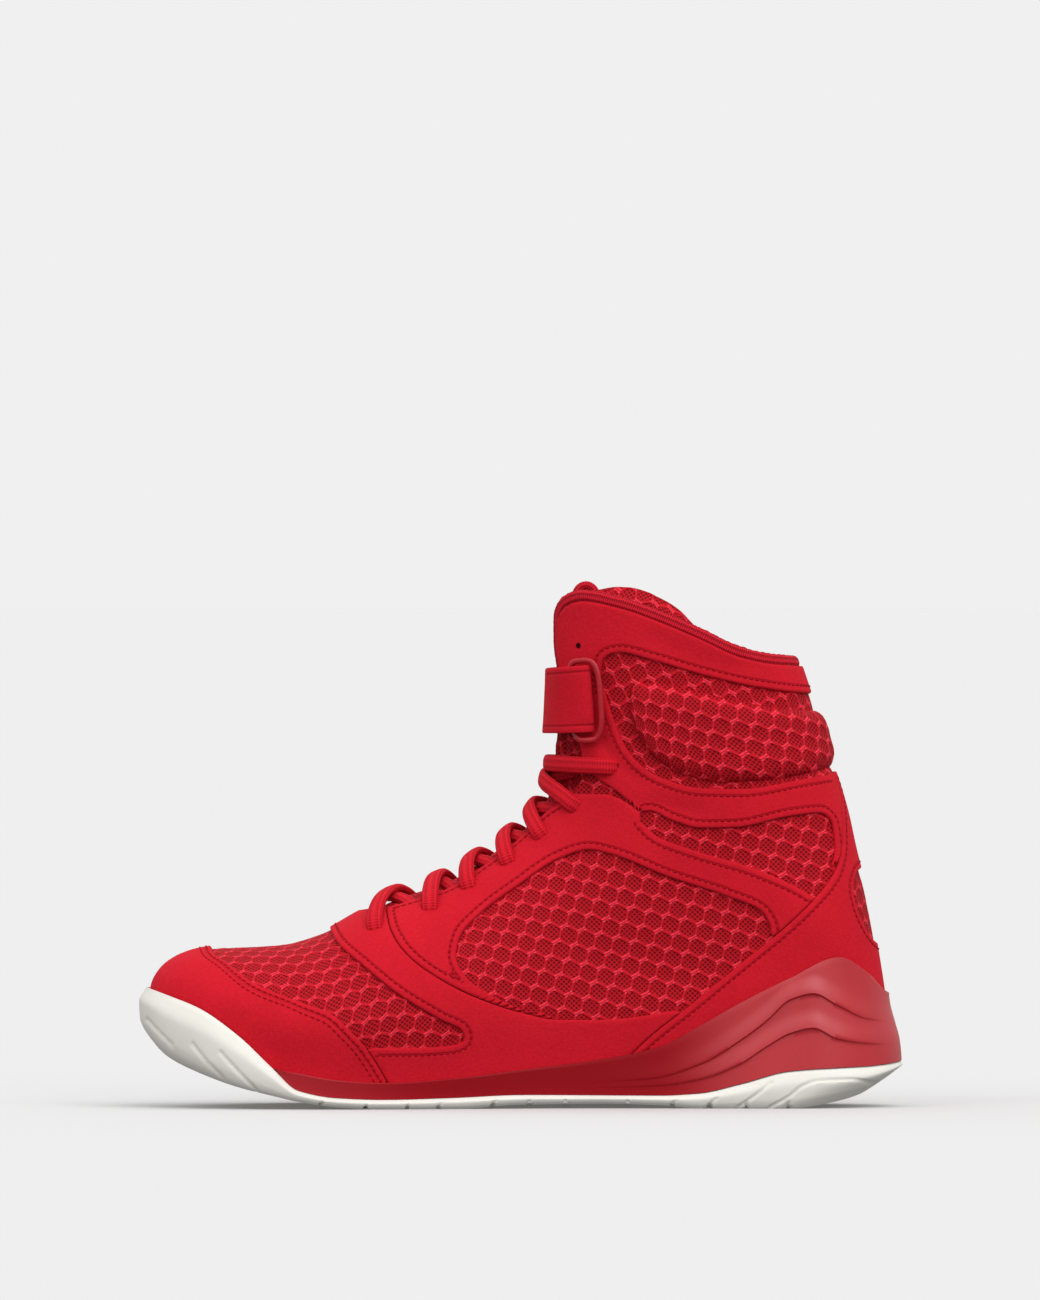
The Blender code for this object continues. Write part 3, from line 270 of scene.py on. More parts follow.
@dataclass
class Last:
    """Form of the foot that every piece of the upper lies on.

    A place on it is a turn and a climb. The turn is 0 at the toe, 0 to 1 along the inner side, 1 at the
    heel and 1 to 2 back along the outer side. The climb is 0 at the sole and 1 at the rim.
    """

    ridge_spacing: float = 1.0
    ridge: np.ndarray = field(init=False)
    ridge_run: np.ndarray = field(init=False)

    def __post_init__(self) -> None:
        """Draws the lines that bound one side of the upper."""
        self.ridge = trace(tuple(zip(RIDGE.column("x"), RIDGE.column("z"))), self.ridge_spacing)
        self.ridge_run = runs(self.ridge)
        toe_z = float(SOLE.read("footbed", 142.0)) + GAP
        heel_z = float(SOLE.read("footbed", -142.0)) + GAP
        self.rim = trace(THROAT)
        nose_z = np.linspace(toe_z, TOE.rows[-1][0], 60)
        nose = np.stack([TOE.read("x", nose_z), nose_z], axis=1)
        over = self.ridge[(self.ridge[:, 0] < TOE.rows[-1][1] - 1) & (self.ridge[:, 0] > VAMP_POINT[0] + 1)]
        self.front = np.concatenate([nose, over, self.rim[:1]])
        back_z = np.linspace(heel_z, self.rim[-1, 1], 80)
        self.back = np.stack([HEEL.read("x", back_z), back_z], axis=1)
        self.rim[-1] = self.back[-1]
        feather_x = np.linspace(self.front[0, 0], self.back[0, 0], 120)
        self.feather = np.stack([feather_x, SOLE.read("footbed", feather_x) + GAP], axis=1)
        self.feather[0], self.feather[-1] = self.front[0], self.back[0]

    def under_ridge(self, x: np.ndarray, z: np.ndarray) -> tuple[np.ndarray, np.ndarray]:
        """Run along the ridge and depth under it, negative outside, of side-view points."""
        here = np.stack([np.ravel(x), np.ravel(z)], axis=1)
        distance, best, share = nearest(here, self.ridge)
        start, span = self.ridge[best], np.diff(self.ridge, axis=0)[best]
        offset = here - start - share[:, None] * span
        under = span[:, 0] * offset[:, 1] - span[:, 1] * offset[:, 0] > 0
        run = self.ridge_run[best] + share * np.linalg.norm(span, axis=1)
        return run.reshape(np.shape(x)), np.where(under, distance, -distance).reshape(np.shape(x))

    def ridge_rounding(self, run: np.ndarray) -> np.ndarray:
        """Depth over which the last rounds off under the ridge, at runs along it."""
        x, z = np.moveaxis(along(self.ridge, run / self.ridge_run[-1]), -1, 0)
        toe, shin = RIDGE.rows[:9], RIDGE.rows[5:]
        toe_side = np.interp(-x, [-row[0] for row in toe], [row[2] for row in toe])
        shin_side = np.interp(z, [row[1] for row in shin], [row[2] for row in shin])
        return np.where(z > VAMP_POINT[1], shin_side, toe_side)

    def swell(self, x: np.ndarray, z: np.ndarray) -> np.ndarray:
        """Square of the half width at side-view points, negative outside the last's outline."""
        run, depth = self.under_ridge(x, z)

        def arch(share: np.ndarray) -> np.ndarray:
            """Square of a quarter circle, carried on below its foot."""
            return np.where(share < 1, share * (2 - share), 1.0)

        nose = arch((TOE.read("x", z) - x) / TOE.read("rounding", z))
        heel = arch((x - HEEL.read("x", z)) / HEEL.read("rounding", z))
        roof = arch(depth / self.ridge_rounding(run))
        least = np.minimum(np.minimum(nose, heel), roof)
        return (PLAN.read("half_width", x) * hem(x, z)) ** 2 * np.where(least < 0, least, nose * heel * roof)

    def folds(self, x: np.ndarray, z: np.ndarray) -> np.ndarray:
        """Height of the creases at side-view points, below zero in a trough and above it on a ridge."""
        here = np.stack([np.ravel(x), np.ravel(z)], axis=1)
        height = np.zeros(len(here))
        for depth, width, line in FOLDS:
            height += depth * np.exp(-((nearest(here, trace(line, 4.0))[0] / width) ** 2))
        return height.reshape(np.shape(x))

    def at(self, x: np.ndarray, z: np.ndarray, side: np.ndarray) -> np.ndarray:
        """Points of the surface: side is 1 on the inner side, -1 on the outer, 0 on the middle line."""
        x, z, side = np.broadcast_arrays(np.asarray(x, float), np.asarray(z, float), side)
        swell = np.maximum(self.swell(x, z), 0)
        off = np.sqrt(swell) + self.folds(x, z) * ease(swell, 30.0, 300.0)
        return np.stack([x, PLAN.read("swing", x) + side * off, z], axis=-1)

    def normal(self, points: np.ndarray, step: float = 0.2) -> np.ndarray:
        """Outward directions at points of the surface."""
        x, y, z = np.moveaxis(points, -1, 0)
        off = y - PLAN.read("swing", x)
        lean = (PLAN.read("swing", x + step) - PLAN.read("swing", x - step)) / (2 * step)
        by_x = (self.swell(x + step, z) - self.swell(x - step, z)) / (2 * step)
        by_z = (self.swell(x, z + step) - self.swell(x, z - step)) / (2 * step)
        return unit(np.stack([-2 * off * lean - by_x, 2 * off, -by_z], axis=-1))

    def view(self, turn: np.ndarray, climb: np.ndarray) -> np.ndarray:
        """Side-view points at turns and climbs, between the toe, sole, heel and rim lines."""
        ring = np.abs((turn + 1) % 2 - 1)
        s = ((1 - np.cos(np.pi * ring)) / 2)[..., None]
        t = climb[..., None]
        low = along(self.feather, FAN.read("sole", s[..., 0]))
        high = along(self.rim, FAN.read("rim", s[..., 0]))
        swept = (1 - s) * along(self.front, climb) + s * along(self.back, climb)
        corners = ((1 - t) * ((1 - s) * self.front[0] + s * self.back[0])
                   + t * ((1 - s) * self.rim[0] + s * self.rim[-1]))
        return (1 - t) * low + t * high + swept - corners

    def place(self, turn: np.ndarray, climb: np.ndarray) -> np.ndarray:
        """Points of the surface at turns and climbs."""
        turn, climb = np.broadcast_arrays(turn, climb)
        flat = self.view(turn, climb)
        wrapped = turn % 2
        side = np.where(np.abs(np.round(turn) - turn) < 1e-9, 0, np.where(wrapped < 1, 1, -1))
        return self.at(flat[..., 0], flat[..., 1], side)

    def over_front(self, run: np.ndarray, place: np.ndarray) -> np.ndarray:
        """Points by run along the ridge and signed square root of the depth under it."""
        run, place = np.broadcast_arrays(np.asarray(run, float), np.asarray(place, float))
        share = run / self.ridge_run[-1]
        behind, before = (along(self.ridge, np.clip(share + step, 0, 1)) for step in (-0.004, 0.004))
        ahead = unit(before - behind)
        inward = np.stack([-ahead[..., 1], ahead[..., 0]], axis=-1)
        flat = along(self.ridge, share) + inward * (place**2)[..., None]
        return self.at(flat[..., 0], flat[..., 1], np.sign(place))

    def drape(self, points: np.ndarray, floor: float = 5.0, rows: int = 80, columns: int = 160) -> np.ndarray:
        """Distance of surface points over the toe from its middle line, below zero on the inner side."""
        x, off, z = points[:, 0], points[:, 1] - PLAN.read("swing", points[:, 0]), points[:, 2]
        toe = self.ridge[self.ridge[:, 0] > 0][::-1]
        place = np.linspace(x.min(), x.max(), rows)
        top = np.interp(place, toe[:, 0], toe[:, 1])[:, None]
        depth = np.linspace(0, 1, columns) ** 2 * (top - floor)
        wide = np.sqrt(np.maximum(self.swell(place[:, None] + 0 * depth, top - depth), 0))
        run = np.cumsum(np.hypot(np.diff(wide, prepend=0), np.diff(depth, prepend=0)), axis=1)
        top = np.interp(x, toe[:, 0], toe[:, 1])
        i = (x - place[0]) / (place[1] - place[0])
        j = np.sqrt(np.clip((top - z) / (top - floor), 0, 1)) * (columns - 1)
        row, column = np.minimum(i.astype(int), rows - 2), np.minimum(j.astype(int), columns - 2)
        i, j = i - row, j - column
        low = run[row, column] * (1 - j) + run[row, column + 1] * j
        high = run[row + 1, column] * (1 - j) + run[row + 1, column + 1] * j
        return -np.sign(off) * (low * (1 - i) + high * i)

    def run_at_height(self, z: np.ndarray) -> np.ndarray:
        """Run along the ridge where it passes a height on the front of the ankle."""
        shin = self.ridge[:, 1] > VAMP_POINT[1]
        return np.interp(z, self.ridge[shin, 1], self.ridge_run[shin])

    def lay(self, line: np.ndarray, side: Side, spacing: float = 0.8) -> np.ndarray:
        """Lays a side-view line on the surface, cut off where it leaves the last.

        Args:
            line: points of the line in the side view.
            side: the side of the shoe that it lies on.
            spacing: distance between the points of the result.

        Returns:
            Points on the surface, or fewer than two where the line misses it.
        """
        fine = along(line, np.linspace(0, 1, max(2, round(runs(line)[-1] / 0.03))))
        on = self.swell(fine[:, 0], fine[:, 1]) > 0
        if on.sum() < 2:
            return np.zeros((0, 3))
        first, last = np.flatnonzero(on)[[0, -1]]
        kept = fine[first:last + 1]
        share = np.full(len(kept), side.value, float)
        if first > 0:
            share[0] = 0
        if last < len(fine) - 1:
            share[-1] = 0
        laid = self.at(kept[:, 0], kept[:, 1], share)
        return along(laid, np.linspace(0, 1, max(2, round(runs(laid)[-1] / spacing) + 1)))


# Meshes

def make_piece(name: str, points: np.ndarray, faces: list | np.ndarray, material: bpy.types.Material,
               values: dict[str, np.ndarray] | None = None, sharp: float = 50.0) -> bpy.types.Object:
    """Makes an object from points in millimetres.

    Args:
        name: the piece's name.
        points: its corners.
        faces: corner numbers of each face.
        material: its finish.
        values: numbers or vectors kept at each corner for the finish.
        sharp: angle in degrees past which an edge is shaded sharp.

    Returns:
        The new object.
    """
    mesh = bpy.data.meshes.new(name)
    points = np.asarray(points, float).reshape(-1, 3) * MM
    sizes = np.array([len(face) for face in faces])
    corners = np.concatenate(faces) if isinstance(faces, list) else faces.ravel()
    mesh.vertices.add(len(points))
    mesh.vertices.foreach_set("co", points.ravel())
    mesh.loops.add(len(corners))
    mesh.loops.foreach_set("vertex_index", corners.astype(np.int32))
    mesh.polygons.add(len(sizes))
    mesh.polygons.foreach_set("loop_start", np.concatenate([[0], np.cumsum(sizes)[:-1]]).astype(np.int32))
    mesh.update(calc_edges=True)
    mesh.validate()
    body = bmesh.new()
    body.from_mesh(mesh)
    if body.calc_volume(signed=True) < 0:
        mesh.flip_normals()
    body.free()
    for key, value in (values or {}).items():
        kind, slot = ("FLOAT", "value") if np.ndim(value) == 1 else ("FLOAT_VECTOR", "vector")
        mesh.attributes.new(key, kind, "POINT").data.foreach_set(slot, np.ravel(value))
    mesh.materials.append(material)
    mesh.shade_smooth()
    mesh.set_sharp_from_angle(angle=math.radians(sharp))
    piece = bpy.data.objects.new(name, mesh)
    bpy.context.scene.collection.objects.link(piece)
    return piece


def grid_faces(rows: int, columns: int, closed: bool, first: int = 0, flip: bool = False) -> np.ndarray:
    """Four-cornered faces of a grid of points stored row by row."""
    i, j = np.meshgrid(np.arange(rows - 1), np.arange(columns if closed else columns - 1), indexing="ij")
    k = (j + 1) % columns
    low, high = i * columns, (i + 1) * columns
    quads = np.stack([low + j, low + k, high + k, high + j], axis=-1).reshape(-1, 4) + first
    return quads[:, ::-1] if flip else quads


def shell_faces(rows: int, columns: int, closed: bool) -> np.ndarray:
    """Faces of a wall between an outer and an inner grid, stored one after the other."""
    size = rows * columns
    parts = [grid_faces(rows, columns, closed), grid_faces(rows, columns, closed, size, flip=True)]
    j = np.arange(columns if closed else columns - 1)
    k = (j + 1) % columns
    top = (rows - 1) * columns
    parts.append(np.stack([k, j, j + size, k + size], axis=1))
    parts.append(np.stack([j, k, k + size, j + size], axis=1) + top)
    if not closed:
        i = np.arange(rows - 1) * columns
        parts.append(np.stack([i, i + columns, i + columns + size, i + size], axis=1))
        i = i + columns - 1
        parts.append(np.stack([i + columns, i, i + size, i + columns + size], axis=1))
    return np.concatenate(parts)


def grid_runs(grid: np.ndarray, axis: int) -> np.ndarray:
    """Distance at each point of a grid from the first one, down its columns (0) or along its rows (1)."""
    steps = np.linalg.norm(np.diff(grid, axis=axis), axis=2).cumsum(axis=axis)
    return np.concatenate([np.zeros_like(steps.take([0], axis=axis)), steps], axis=axis)


@dataclass
class Skin:
    """A patch of surface in triangles, with its outward directions and values at each corner."""

    points: np.ndarray
    out: np.ndarray
    faces: np.ndarray
    values: dict[str, np.ndarray]

    def split(self, name: str, level: float) -> np.ndarray:
        """Cuts the triangles along a level of one of the values.

        Args:
            name: the value.
            level: where it is cut.

        Returns:
            Pairs of corners along the cut.
        """
        above = self.values[name] > level
        lone = np.where(above[self.faces].sum(axis=1) == 1, 1, 0)
        mixed = (above[self.faces].any(axis=1)) & (~above[self.faces].all(axis=1))
        faces, lone = self.faces[mixed], lone[mixed]
        if not len(faces):
            return np.zeros((0, 2), int)
        tip = (above[faces] == lone[:, None].astype(bool)).argmax(axis=1)
        rows = np.arange(len(faces))
        a, b, c = (faces[rows, (tip + i) % 3] for i in range(3))
        pairs = np.concatenate([np.stack([a, b], 1), np.stack([a, c], 1)])
        ends, where = np.unique(np.sort(pairs, axis=1), axis=0, return_inverse=True)
        where = where.ravel()
        low, high = self.values[name][ends[:, 0]], self.values[name][ends[:, 1]]
        share = np.clip((level - low) / (high - low), 0.02, 0.98)
        first = len(self.points)

        def between(value: np.ndarray) -> np.ndarray:
            """Values on the cut edges, added after the old ones."""
            part = share if value.ndim == 1 else share[:, None]
            return np.concatenate([value, value[ends[:, 0]] * (1 - part) + value[ends[:, 1]] * part])

        self.points, self.out = between(self.points), unit(between(self.out))
        self.values = {key: between(value) for key, value in self.values.items()}
        ab, ac = first + where[:len(faces)], first + where[len(faces):]
        new = np.concatenate([np.stack([a, ab, ac], 1), np.stack([ab, b, c], 1), np.stack([ab, c, ac], 1)])
        self.faces = np.concatenate([self.faces[~mixed], new])
        return np.stack([ab, ac], axis=1)

    def keep(self, name: str, level: float) -> None:
        """Drops the triangles below a level of one of the values, and the corners left over."""
        kept = self.faces[self.values[name][self.faces].mean(axis=1) > level]
        used, where = np.unique(kept, return_inverse=True)
        self.faces = where.reshape(-1, 3)
        self.points, self.out = self.points[used], self.out[used]
        self.values = {key: value[used] for key, value in self.values.items()}

    def closed(self, top: np.ndarray, bottom: float) -> tuple[np.ndarray, np.ndarray, dict[str, np.ndarray]]:
        """Gives the patch a thickness.

        Args:
            top: height of each corner over the surface.
            bottom: height of the underside.

        Returns:
            Points, triangles and values of the closed body.
        """
        size = len(self.points)
        points = np.concatenate([self.points + self.out * top[:, None], self.points + self.out * bottom])
        edges = np.concatenate([self.faces[:, [0, 1]], self.faces[:, [1, 2]], self.faces[:, [2, 0]]])
        twice = np.sort(edges, axis=1)
        _, which, count = np.unique(twice, axis=0, return_inverse=True, return_counts=True)
        rim = edges[count[which.ravel()] == 1]
        a, b = rim[:, 0], rim[:, 1]
        walls = np.concatenate([np.stack([b, a, a + size], 1), np.stack([b, a + size, b + size], 1)])
        faces = np.concatenate([self.faces, self.faces[:, ::-1] + size, walls])
        return points, faces, {key: np.concatenate([value, value]) for key, value in self.values.items()}


def skin_over(last: Last, outline: np.ndarray, around: Around, spacing: float) -> Skin:
    """Lays a grid of triangles over the part of the last that an outline covers.

    Args:
        last: the last.
        outline: closed outline in the side view.
        around: where the patch lies.
        spacing: rough size of the triangles.

    Returns:
        The patch, with its run up the side and round the last kept as values.
    """
    turn, climb = np.meshgrid(np.linspace(0, 1, 161), np.linspace(0, 1, 81))
    flat = last.view(turn, climb)
    hit = inside(outline, flat[..., 0], flat[..., 1])
    margin = 0.03
    near, far = max(0.0, turn[hit].min() - margin), min(1.0, turn[hit].max() + margin)
    low, high = max(0.0, climb[hit].min() - margin), min(1.0, climb[hit].max() + margin)
    start, end = {Around.TOE: (-far, far), Around.HEEL: (near, 2 - near), Around.INNER: (near, far),
                  Around.OUTER: (2 - far, 2 - near)}[around]
    probe = last.place(np.linspace(start, end, 121)[None, :], np.linspace(low, high, 41)[:, None])
    wide = np.linalg.norm(np.diff(probe, axis=1), axis=2).sum(axis=1).max()
    tall = np.linalg.norm(np.diff(probe, axis=0), axis=2).sum(axis=0).max()
    columns, rows = round(wide / spacing) // 2 * 2 + 3, round(tall / spacing) + 2
    turn, climb = np.meshgrid(np.linspace(start, end, columns), np.linspace(low, high, rows))
    turn[np.abs(turn - np.round(turn)) < 1e-9] = np.round(turn[np.abs(turn - np.round(turn)) < 1e-9])
    grid = last.place(turn, climb)
    out = unit(np.cross(np.gradient(grid, axis=1), np.gradient(grid, axis=0)))
    quads = grid_faces(rows, columns, False)
    faces = np.concatenate([quads[:, [0, 1, 2]], quads[:, [0, 2, 3]]])
    rise = grid_runs(grid[..., 1:], 0) + grid[:1, :, 2]
    girth = grid_runs(grid[..., :2], 1)
    girth -= girth[:, [columns // 2]]
    values = {"rise": rise.ravel(), "girth": girth.ravel()}
    return Skin(grid.reshape(-1, 3), out.reshape(-1, 3), faces, values)


# Finishes

class Nodes:
    """Short way to add and link the nodes of one material."""

    def __init__(self, name: str) -> None:
        """Starts a material with its shader."""
        self.material = bpy.data.materials.new(name)
        self.material.use_nodes = True
        self.tree = self.material.node_tree
        self.shader = self.tree.nodes["Principled BSDF"]

    def node(self, kind: str, inputs: dict | None = None, **settings: object) -> bpy.types.Node:
        """Adds a node, with its settings and its inputs linked or set."""
        made = self.tree.nodes.new(kind)
        for key, value in settings.items():
            setattr(made, key, value)
        for key, value in (inputs or {}).items():
            self.put(made.inputs[key], value)
        return made

    def put(self, socket: bpy.types.NodeSocket, value: object) -> None:
        """Links a socket to another one, or sets it."""
        if isinstance(value, bpy.types.NodeSocket):
            self.tree.links.new(value, socket)
        else:
            socket.default_value = value

    def set(self, **values: object) -> None:
        """Sets or links the shader's own sockets, with _ for a space in their names."""
        for key, value in values.items():
            self.put(self.shader.inputs[key.replace("_", " ")], value)

    def where(self) -> bpy.types.NodeSocket:
        """Place in the object's own frame, in metres."""
        return self.node("ShaderNodeTexCoord").outputs["Object"]

    def kept(self, name: str, vector: bool = False) -> bpy.types.NodeSocket:
        """A value kept at the corners of the mesh."""
        return self.node("ShaderNodeAttribute", attribute_name=name).outputs["Vector" if vector else "Fac"]

    def math(self, operation: str, *values: object) -> bpy.types.NodeSocket:
        """One sum of numbers."""
        return self.node("ShaderNodeMath", dict(enumerate(values)), operation=operation).outputs[0]

    def total(self, first: object, a: float, second: object, b: float) -> bpy.types.NodeSocket:
        """Sum of two numbers, each with its weight."""
        return self.math("ADD", self.math("MULTIPLY", first, a), self.math("MULTIPLY", second, b))

    def noise(self, where: object, size: float, detail: float = 2.0,
              roughness: float = 0.5) -> bpy.types.NodeSocket:
        """Soft noise with features of about a size in millimetres, on places in metres."""
        inputs = {"Vector": where, "Scale": 1 / (size * MM), "Detail": detail, "Roughness": roughness}
        return self.node("ShaderNodeTexNoise", inputs).outputs["Fac"]

    def ramp(self, value: object, low: float, high: float, start: float = 0.0,
             end: float = 1.0) -> bpy.types.NodeSocket:
        """Smooth step of a number from one range to another."""
        inputs = {"Value": value, "From Min": low, "From Max": high, "To Min": start, "To Max": end}
        return self.node("ShaderNodeMapRange", inputs, interpolation_type="SMOOTHSTEP").outputs["Result"]

    def mix(self, share: object, first: object, second: object) -> bpy.types.NodeSocket:
        """One colour turning into another."""
        mixer = self.node("ShaderNodeMix", data_type="RGBA")
        for slot, value in ((0, share), (6, first), (7, second)):
            colour = isinstance(value, tuple)
            self.put(mixer.inputs[slot], (*value, 1.0) if colour else value)
        return mixer.outputs[2]

    def bump(self, height: object, depth: float, normal: object = None) -> bpy.types.NodeSocket:
        """Normals of a relief of a depth in millimetres."""
        inputs = {"Height": height, "Distance": depth * MM}
        if normal:
            inputs["Normal"] = normal
        return self.node("ShaderNodeBump", inputs).outputs["Normal"]


@dataclass(frozen=True)
class Suede:
    """Fine matte nap of the overlays, a little uneven, pressed in along the stitching, with painted shade at
    edges and seams.
    """

    name: str = "suede"
    colour: Colour = (0.57, 0.0085, 0.021)
    shade: Colour = (0.50, 0.0070, 0.0175)
    nap: float = 0.35
    pebble: float = 1.1
    stitch_inset: float = 2.7

    def build(self) -> bpy.types.Material:
        """Makes the material."""
        nodes = Nodes(self.name)
        where = nodes.where()
        nap = nodes.noise(where, self.nap, 3.0, 0.65)
        pebble = nodes.noise(where, self.pebble, 2.0)
        cloud = nodes.noise(where, 22.0, 3.0)
        mottle = nodes.total(pebble, 0.6, cloud, 0.4)
        red = nodes.mix(nodes.ramp(mottle, 0.34, 0.66), self.shade, self.colour)
        # Darker along every cut edge: partly a burnished edge, partly painted shade where the edge rounds
        # down to what lies under it.
        edge_burnish_and_shade = nodes.ramp(nodes.kept("edge"), 0.9, 0.1, 0.0, 0.22)
        red = nodes.mix(edge_burnish_and_shade, red, tuple(part * 0.62 for part in self.colour))
        off = nodes.math("ABSOLUTE", nodes.math("SUBTRACT", nodes.kept("sewn"), self.stitch_inset))
        groove = nodes.ramp(off, 0.0, 0.9)
        # Painted shade: the suede darkened along the stitch groove.
        red = nodes.mix(nodes.ramp(off, 0.9, 0.2, 0.0, 0.24), red, tuple(part * 0.5 for part in self.colour))
        normal = nodes.bump(groove, 0.35)
        normal = nodes.bump(pebble, 0.16, normal)
        nodes.set(Base_Color=red, Roughness=0.82, Normal=nodes.bump(nap, 0.12, normal), Sheen_Weight=0.12,
                  Sheen_Roughness=0.5, Sheen_Tint=(1.0, 0.10, 0.14, 1.0), Specular_IOR_Level=0.08)
        return nodes.material


@dataclass(frozen=True)
class Lattice:
    """Hexagon lattice of the spacer mesh: two steps from cell to cell, in millimetres."""

    along: tuple[float, float] = (-6.7, -1.5)
    across: tuple[float, float] = (2.9, -5.8)
    dish: tuple[float, float] = (2.4, 0.2)

    def weights(self) -> tuple[tuple[float, float], tuple[float, float]]:
        """Weights of the two cloth places in each of the two lattice places."""
        (ax, az), (bx, bz) = self.along, self.across
        area = ax * bz - bx * az
        return (bz / area, -bx / area), (-az / area, ax / area)

    def gains(self) -> tuple[tuple[float, float, float], ...]:
        """For each further corner of a cell: its square distance and the weights of the two places."""
        (ax, az), (bx, bz) = self.along, self.across
        aa, ab, bb = ax * ax + az * az, ax * bx + az * bz, bx * bx + bz * bz
        return (aa, aa, ab), (bb, ab, bb), (aa + 2 * ab + bb, aa + ab, ab + bb)

    def ribs(self, u: np.ndarray, v: np.ndarray) -> np.ndarray:
        """Height of the cloth over the dished cells, from 0 to 1, at places of the cloth."""
        (pu, pv), (qu, qv) = self.weights()
        p, q = (pu * u + pv * v) % 1, (qu * u + qv * v) % 1
        far = [np.zeros_like(p)] + [square - 2 * (by_p * p + by_q * q) for square, by_p, by_q in self.gains()]
        near = np.sort(np.stack(far), axis=0)
        return ease((near[1] - near[0]) / (2 * math.hypot(*self.along)), *self.dish)


@dataclass(frozen=True)
class SpacerMesh:
    """Hexagon spacer mesh: raised ribs, fine holes in the cells and a bright double thread on some ribs."""

    name: str = "spacer_mesh"
    lattice: Lattice = Lattice()
    rib: Colour = (0.51, 0.0070, 0.018)
    cell: Colour = (0.45, 0.0055, 0.014)
    # Colour of the fine holes: the dark lining seen through them, darkened further as painted shade.
    hole: Colour = (0.17, 0.0012, 0.0035)
    thread: Colour = (0.90, 0.040, 0.070)
    hole_pitch: tuple[float, float] = (1.95, 1.85)
    thread_tilt: float = 152.0
    thread_off: float = 0.5
    thread_reach: tuple[float, float] = (2.1, 1.5)

    def build(self) -> bpy.types.Material:
        """Makes the material on the cloth places kept at the corners."""
        nodes = Nodes(self.name)
        split = nodes.node("ShaderNodeSeparateXYZ", {0: nodes.kept("cloth", vector=True)})
        u, v = split.outputs[0], split.outputs[1]

        def cosine(a: float, b: float) -> bpy.types.NodeSocket:
            """Cosine of a number of turns, a weighted sum of the cloth places."""
            return nodes.math("COSINE", nodes.math("MULTIPLY", nodes.total(u, a, v, b), 2 * math.pi))

        p, q = (nodes.math("FRACT", nodes.total(u, a, v, b)) for a, b in self.lattice.weights())
        one, two, three = (nodes.math("SUBTRACT", square, nodes.total(p, 2 * by_p, q, 2 * by_q))
                           for square, by_p, by_q in self.lattice.gains())
        low, high = (nodes.math(pick, one, 0.0) for pick in ("MINIMUM", "MAXIMUM"))
        other_low, other_high = (nodes.math(pick, two, three) for pick in ("MINIMUM", "MAXIMUM"))
        second = nodes.math("MINIMUM", nodes.math("MAXIMUM", low, other_low),
                            nodes.math("MINIMUM", high, other_high))
        border = nodes.math("SUBTRACT", second, nodes.math("MINIMUM", low, other_low))
        border = nodes.math("MULTIPLY", border, 0.5 / math.hypot(*self.lattice.along))
        rib = nodes.ramp(border, 0.75, 0.3)
        wide, tall = (0.5 / pitch for pitch in self.hole_pitch)
        lean = nodes.math("MULTIPLY", cosine(wide, tall), cosine(wide, -tall))
        hole = nodes.ramp(nodes.math("ABSOLUTE", lean), 0.40, 0.72)
        in_cell = nodes.math("MULTIPLY", hole, nodes.ramp(border, 0.45, 0.95))
        near_p, near_q = (nodes.math("SUBTRACT", place, 0.5) for place in (p, q))
        du, dv = (nodes.total(near_p, a, near_q, b) for a, b in zip(self.lattice.along, self.lattice.across))
        sine, level = math.sin(math.radians(self.thread_tilt)), math.cos(math.radians(self.thread_tilt))
        run, off = nodes.total(du, level, dv, sine), nodes.total(du, -sine, dv, level)
        apart = nodes.math("SUBTRACT", nodes.math("ABSOLUTE", off), self.thread_off)
        stroke = nodes.math("MULTIPLY", nodes.ramp(nodes.math("ABSOLUTE", apart), 0.46, 0.16),
                            nodes.ramp(nodes.math("ABSOLUTE", run), *self.thread_reach))
        twist = nodes.noise(nodes.where(), 0.45, 2.0)
        cloth = nodes.mix(rib, self.cell, self.rib)
        cloth = nodes.mix(nodes.ramp(twist, 0.3, 0.75, 0.0, 0.35), cloth, self.cell)
        # The fine holes painted in the hole colour: lining red darkened as painted shade inside each hole.
        cloth = nodes.mix(in_cell, cloth, self.hole)
        cloth = nodes.mix(nodes.math("MULTIPLY", stroke, 0.9), cloth, self.thread)
        height = nodes.math("SUBTRACT", nodes.math("ADD", nodes.math("MULTIPLY", stroke, 0.5), rib), in_cell)
        normal = nodes.bump(nodes.math("ADD", height, nodes.math("MULTIPLY", twist, 0.35)), 0.3)
        nodes.set(Base_Color=cloth, Roughness=0.7, Normal=normal, Specular_IOR_Level=0.1)
        return nodes.material


@dataclass(frozen=True)
class Woven:
    """Woven or knitted red yarn: slanting strokes on places kept along and round the piece."""

    name: str
    colour: Colour = (0.56, 0.009, 0.022)
    # Darker colour painted into the low places of the weave: painted shade between the yarns.
    shade: Colour = (0.27, 0.003, 0.009)
    pitch: float = 1.1
    slant: float = 0.8
    depth: float = 0.3

    def build(self) -> bpy.types.Material:
        """Makes the material on the cloth places kept at the corners."""
        nodes = Nodes(self.name)
        split = nodes.node("ShaderNodeSeparateXYZ", {0: nodes.kept("cloth", vector=True)})
        u, v = split.outputs[0], split.outputs[1]
        turn = 2 * math.pi / self.pitch

        def wave(sign: float) -> bpy.types.NodeSocket:
            """One set of slanting strokes."""
            place = nodes.math("ADD", u, nodes.math("MULTIPLY", v, sign * self.slant))
            return nodes.math("SINE", nodes.math("MULTIPLY", place, turn))

        weave = nodes.math("MULTIPLY", wave(1.0), wave(-1.0))
        fuzz = nodes.noise(nodes.where(), 0.3, 2.0)
        high = nodes.ramp(nodes.math("ADD", weave, nodes.math("MULTIPLY", fuzz, 0.7)), -0.6, 0.9)
        # The weave's low places take the shade colour: painted shade between the yarns.
        nodes.set(Base_Color=nodes.mix(high, self.shade, self.colour), Roughness=0.75,
                  Normal=nodes.bump(high, self.depth), Specular_IOR_Level=0.1)
        return nodes.material


